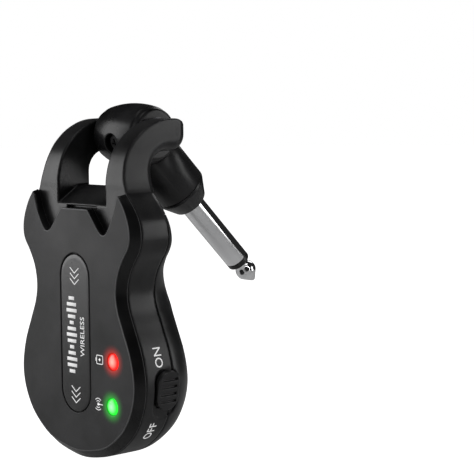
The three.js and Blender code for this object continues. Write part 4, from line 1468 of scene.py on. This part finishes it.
@dataclass(frozen=True)
class Plug:
    """The swivelling plug: hub, housing, collar, sleeve, insulating ring and tip, along one axis."""

    hub_half: float = 8.7
    hub_radius: float = 7.9
    hub_fall: float = 1.2
    hub_step: tuple[float, float] = (7.0, 0.22)
    hub_bore: float = 2.8
    washer_seat: float = 7.9
    screw_drop: float = 19.0
    screw_hole: float = 2.7
    housing: float = 7.1
    housing_end: float = 19.8
    collar_end: float = 25.6
    nose: float = 4.7
    sleeve: float = 3.175
    sleeve_end: float = 48.3
    tip_end: float = 57.75

    def hub_field(self, x: Array, y: Array, z: Array) -> Array:
        """A barrel about the swivel axis, with a stepped band at each end and the screw's hole."""
        ahead, rise = y - SWIVEL.y, z - SWIVEL.z
        reach = np.sqrt(ahead**2 + rise**2)
        side = np.abs(x)
        crown = self.hub_radius - self.hub_fall * (side / self.hub_half) ** 2
        step_at, step_down = self.hub_step
        barrel = meet(reach - crown, side - step_at, 0.2)
        band = meet(reach - crown + step_down, side - self.hub_half, 0.7)
        body = np.minimum(barrel, band)
        drop = math.radians(self.screw_drop)
        forward = -ahead * math.cos(drop) - rise * math.sin(drop)
        off = np.sqrt((-ahead * math.sin(drop) + rise * math.cos(drop)) ** 2 + x**2)
        hole = np.maximum(off - self.screw_hole, 5.2 - forward)
        bore = np.maximum(reach - self.hub_bore, self.washer_seat - side)
        return cut(cut(body, hole, 0.3), bore, 0.1)

    def hub(self) -> Object:
        """Builds the hub."""
        middle = np.array([0.0, SWIVEL.y, SWIVEL.z])
        size = np.array([self.hub_half, self.hub_radius, self.hub_radius]) + 0.3
        points, faces = level_skin(self.hub_field, middle - size, middle + size, 0.24)
        piece = build("swivel_hub", points, [faces], Body.PLUG)
        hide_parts("plug_hub")
        return dress(piece, Finish.PLUG_BODY)

    def housing_shell(self) -> Object:
        """A cylinder whose upper end is cut to sit on the hub.

        Its upper end at each turn is where a line along the plug's axis meets the hub: the along
        distance is the root of the hub's radius squared less the sideways distance squared.
        """
        steps = 120
        turn = np.linspace(0.0, 2.0 * math.pi, steps, endpoint=False)
        outer = [(r, 0.12) for r in (3.6, 4.6, 5.6, 6.4, 6.85)] + [(7.02, 0.14), (self.housing, 0.26)]
        rows = []
        for radius, gap in outer:
            side = radius * np.cos(turn)
            crown = self.hub_radius - self.hub_fall * (side / self.hub_half) ** 2
            along = np.sqrt((crown + gap) ** 2 - (radius * np.sin(turn)) ** 2)
            rows.append((radius, along))
        end = self.housing_end
        for radius, along in ((self.housing, end - 6.0), (self.housing, end - 0.16), (7.06, end - 0.05),
                              (6.95, end), (3.6, end)):
            rows.append((radius, np.full(steps, along)))
        rows.append(rows[0])
        along, across = SWIVEL.axes()
        ray = np.cos(turn)[:, None] * [1.0, 0.0, 0.0] + np.sin(turn)[:, None] * across
        spine = np.array([0.0, SWIVEL.y, SWIVEL.z])
        grid = np.stack([spine + s[:, None] * along + r * ray for r, s in rows])
        faces = grid_faces(len(rows), steps, False, True)
        piece = build("plug_barrel", grid.reshape(-1, 3), [faces], Body.PLUG)
        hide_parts("plug_housing")
        return dress(piece, Finish.PLUG_BODY)

    def turned_parts(self) -> list[Object]:
        """The collar, sleeve, insulating ring and tip, each turned from its own profile."""
        start, nose, sleeve = self.housing_end + 0.12, self.nose, self.sleeve
        collar = rounded(((start, 3.5, 0), (start, 7.06, 0.1), (start + 0.75, 7.1, 0.5),
                          (self.collar_end, nose, 0.45), (self.collar_end, 3.5, 0), (start, 3.5, 0)), 6)
        end = self.sleeve_end
        barrel = rounded(((12.5, 2.35, 0), (12.5, sleeve, 0.2), (end, sleeve, 0.16), (end, 2.35, 0),
                          (12.5, 2.35, 0)), 5)
        ring = rounded(((11.5, 1.3, 0), (11.5, 2.0, 0), (end + 0.1, 2.0, 0), (end + 0.1, sleeve, 0.14),
                        (49.85, sleeve, 0.14), (49.85, 1.3, 0), (11.5, 1.3, 0)), 4)
        tip = self.tip_profile()
        made = []
        for name, packed, profile, finish in (
            ("tapered_collar", "cone_collar", collar, Finish.PLUG_BODY),
            ("chromed_sleeve", "plug_sleeve", barrel, Finish.CHROME),
            ("insulating_ring", "insulator", ring, Finish.RESIN),
            ("chromed_tip", "plug_tip", tip, Finish.CHROME),
        ):
            piece = lathe(name, profile, Body.PLUG)
            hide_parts(packed)
            made.append(dress(piece, finish))
        return made

    def tip_profile(self) -> Array:
        """The tip's profile (along, radius): a waist, a ball and a blunt cone."""
        waist = spline(((49.95, 2.25), (50.4, 2.02), (51.3, 1.95), (52.0, 2.3), (52.7, 2.68),
                        (53.5, 2.8), (54.3, 2.72), (54.95, 2.35)), 6)
        cone = spline(((54.95, 2.35), (56.0, 1.62), (57.1, 0.86), (57.6, 0.42), (self.tip_end, 0.0)), 6)
        return np.vstack([[[51.9, 0.0], [51.9, 1.25], [49.95, 1.25]], waist, cone[1:]])

    def build(self) -> list[Object]:
        """Builds every piece of the plug that shows."""
        return [self.hub(), self.housing_shell(), *self.turned_parts()]


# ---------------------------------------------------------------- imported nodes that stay, and the studio


INNER_FINISHES = {
    "hub_screw": Finish.RESIN, "left_trunnion": Finish.STEEL, "right_trunnion": Finish.STEEL,
    "left_friction_washer": Finish.DARK_STEEL, "right_friction_washer": Finish.DARK_STEEL,
    "sleeve_nut": Finish.STEEL, "ground_tag": Finish.GOLD, "centre_rod": Finish.GOLD,
    "switch_lever": Finish.RESIN, "battery_led_chip": Finish.CHIP, "signal_led_chip": Finish.CHIP,
    "circuit_board": Finish.BOARD, "radio_shield": Finish.STEEL, "antenna_strip": Finish.GOLD,
    "battery_socket": Finish.IVORY, "battery_lead_red": Finish.RED_WIRE,
    "battery_lead_black": Finish.BLACK_WIRE, "battery_cell": Finish.FOIL, "battery_pad": Finish.FOAM,
    "charge_port_tongue": Finish.RESIN, "slide_switch_body": Finish.STEEL,
    "audio_lead": Finish.BLACK_WIRE,
    **{f"board_screw_{number}": Finish.STEEL for number in range(1, 5)},
}


class InnerWorks:
    """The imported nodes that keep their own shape, mostly inside the casing."""

    def build(self) -> list[Object]:
        """Dresses each one in its own finish."""
        return [dress(frame["nodes"][name], finish) for name, finish in INNER_FINISHES.items()]


@dataclass(frozen=True)
class Panel:
    """A soft rectangular studio light that faces the object."""

    azimuth: float
    elevation: float
    reach: float
    width: float
    height: float
    power: float

    def build(self, number: int) -> None:
        """Hangs the light at its reach from the object's middle, turned to face it."""
        lamp = bpy.data.lights.new(f"panel_{number}", "AREA")
        lamp.shape, lamp.size, lamp.size_y = "RECTANGLE", self.width, self.height
        lamp.energy = self.power
        holder = bpy.data.objects.new(lamp.name, lamp)
        turn, rise = math.radians(self.azimuth), math.radians(self.elevation)
        away_from = Vector((math.sin(turn) * math.cos(rise), -math.cos(turn) * math.cos(rise),
                            math.sin(rise)))
        middle = (CAD_BOX[0] + CAD_BOX[1]) / 2
        holder.location = middle + away_from * self.reach
        holder.rotation_euler = (-away_from).to_track_quat("-Z", "Y").to_euler()
        bpy.context.scene.collection.objects.link(holder)


@dataclass(frozen=True)
class Studio:
    """A pale floor under a white room, soft panels and the camera."""

    azimuth: float = 46.94
    elevation: float = 4.896
    roll: float = 0.395
    lens: float = 113.92
    stand: tuple[float, float, float] = (295.3, -221.15, 51.95)
    table_glow: float = 0.11
    room_glow: float = 0.02
    sensor: float = 36.0
    panels: tuple[Panel, ...] = (
        Panel(-48, 14, 0.55, 0.30, 0.36, 1.0),
        Panel(133, 10, 0.50, 0.14, 0.34, 0.42),
        Panel(92, 18, 0.50, 0.02, 0.40, 0.20),
        Panel(4, 12, 0.55, 0.02, 0.40, 0.25),
        Panel(20, 78, 0.50, 0.20, 0.20, 0.18),
        Panel(205, 35, 0.60, 0.30, 0.20, 0.35),
    )

    def floor(self) -> None:
        """A wide pale disc just under the casing, made of rings round the object."""
        radii = np.array([0.0, 0.08, 0.2, 0.5, 1.2, 3.0])
        turn = np.linspace(0.0, 2.0 * math.pi, 64, endpoint=False)
        low = CAD_BOX[0].z - 0.0002
        grid = np.stack([np.column_stack([r * np.cos(turn), r * np.sin(turn), np.full(64, low)])
                         for r in radii])
        mesh = bpy.data.meshes.new("studio_floor")
        mesh.from_pydata(grid.reshape(-1, 3).tolist(), [], grid_faces(len(radii), 64, False, True).tolist())
        floor = bpy.data.objects.new("studio_floor", mesh)
        bpy.context.scene.collection.objects.link(floor)
        floor.visible_diffuse = False
        made, tree, shader = blank("pale floor")
        grain = use(tree, EFFECTS.grain, Scale=400.0)
        tone = spread(tree, grain.outputs["Tone"], 0.3, 0.7, 0.0, 1.0)
        wire(tree, blend_colors(tree, tone, (0.9, 0.9, 0.9), (0.93, 0.93, 0.93)),
             shader.inputs["Base Color"])
        shader.inputs["Roughness"].default_value = 0.9
        rays = node(tree, "ShaderNodeLightPath")
        place = node(tree, "ShaderNodeTexCoord")
        gap = node(tree, "ShaderNodeVectorMath", operation="LENGTH")
        wire(tree, place.outputs["Object"], gap.inputs[0])
        near = spread(tree, gap.outputs["Value"], 0.08, 0.2, self.table_glow, 0.0)
        pool = blend_colors(tree, near, (0.0, 0.0, 0.0), (1.0, 1.0, 1.0))
        wire(tree, blend_colors(tree, rays.outputs["Is Camera Ray"], pool, (1.0, 1.0, 1.0)),
             shader.inputs["Emission Color"])
        shader.inputs["Emission Strength"].default_value = 1.1
        mesh.materials.append(made)

    def room(self) -> None:
        """White behind the object, and only a little light from all round."""
        world = bpy.data.worlds.new("white room")
        world.use_nodes = True
        tree = world.node_tree
        tree.nodes.clear()
        rays = node(tree, "ShaderNodeLightPath")
        seen, around = node(tree, "ShaderNodeBackground"), node(tree, "ShaderNodeBackground")
        for light, strength in ((seen, 1.0), (around, self.room_glow)):
            light.inputs["Color"].default_value = (1.0, 1.0, 1.0, 1.0)
            light.inputs["Strength"].default_value = strength
        mixed, result = node(tree, "ShaderNodeMixShader"), node(tree, "ShaderNodeOutputWorld")
        wire(tree, rays.outputs["Is Camera Ray"], mixed.inputs[0])
        wire(tree, around.outputs[0], mixed.inputs[1])
        wire(tree, seen.outputs[0], mixed.inputs[2])
        wire(tree, mixed.outputs[0], result.inputs[0])
        bpy.context.scene.world = world

    def camera(self) -> None:
        """Sets the camera at its stand, looking level across the casing's right front corner."""
        az, el, roll = (math.radians(a) for a in (self.azimuth, self.elevation, self.roll))
        right = Vector((math.cos(az), math.sin(az), 0.0))
        up = Vector((-math.sin(el) * math.sin(az), math.sin(el) * math.cos(az), math.cos(el)))
        back = Vector((math.cos(el) * math.sin(az), -math.cos(el) * math.cos(az), math.sin(el)))
        turned_right = right * math.cos(roll) - up * math.sin(roll)
        turned_up = right * math.sin(roll) + up * math.cos(roll)
        data = bpy.data.cameras.new("camera")
        data.lens, data.sensor_width = self.lens, self.sensor
        data.clip_start, data.clip_end = 0.01, 20.0
        camera = bpy.data.objects.new("camera", data)
        place = Matrix((turned_right, turned_up, back)).transposed().to_4x4()
        place.translation = Vector(seat(np.array(self.stand)))
        camera.matrix_world = place
        bpy.context.scene.collection.objects.link(camera)
        bpy.context.scene.camera = camera

    def build(self) -> None:
        """Sets up the camera, the room, the floor and the lights."""
        bpy.context.scene.view_settings.view_transform = "Standard"
        self.camera()
        self.room()
        self.floor()
        for number, panel in enumerate(self.panels):
            panel.build(number)


def main() -> None:
    """Builds every sub-assembly in order and reports its pieces."""
    logging.basicConfig(level=logging.INFO, format="%(name)s: %(message)s")
    Studio().build()
    for maker in (Shell(), Back(), Cover(), Inlay(), Lights(), Marks(), PowerSwitch(), ChargePort(), Plug(),
                  InnerWorks()):
        made = maker.build()
        for piece in made if isinstance(made, list) else [made]:
            LOG.info("%s: %s, %d faces", type(maker).__name__, piece.name, len(piece.data.polygons))


if __name__ == "__main__":
    main()
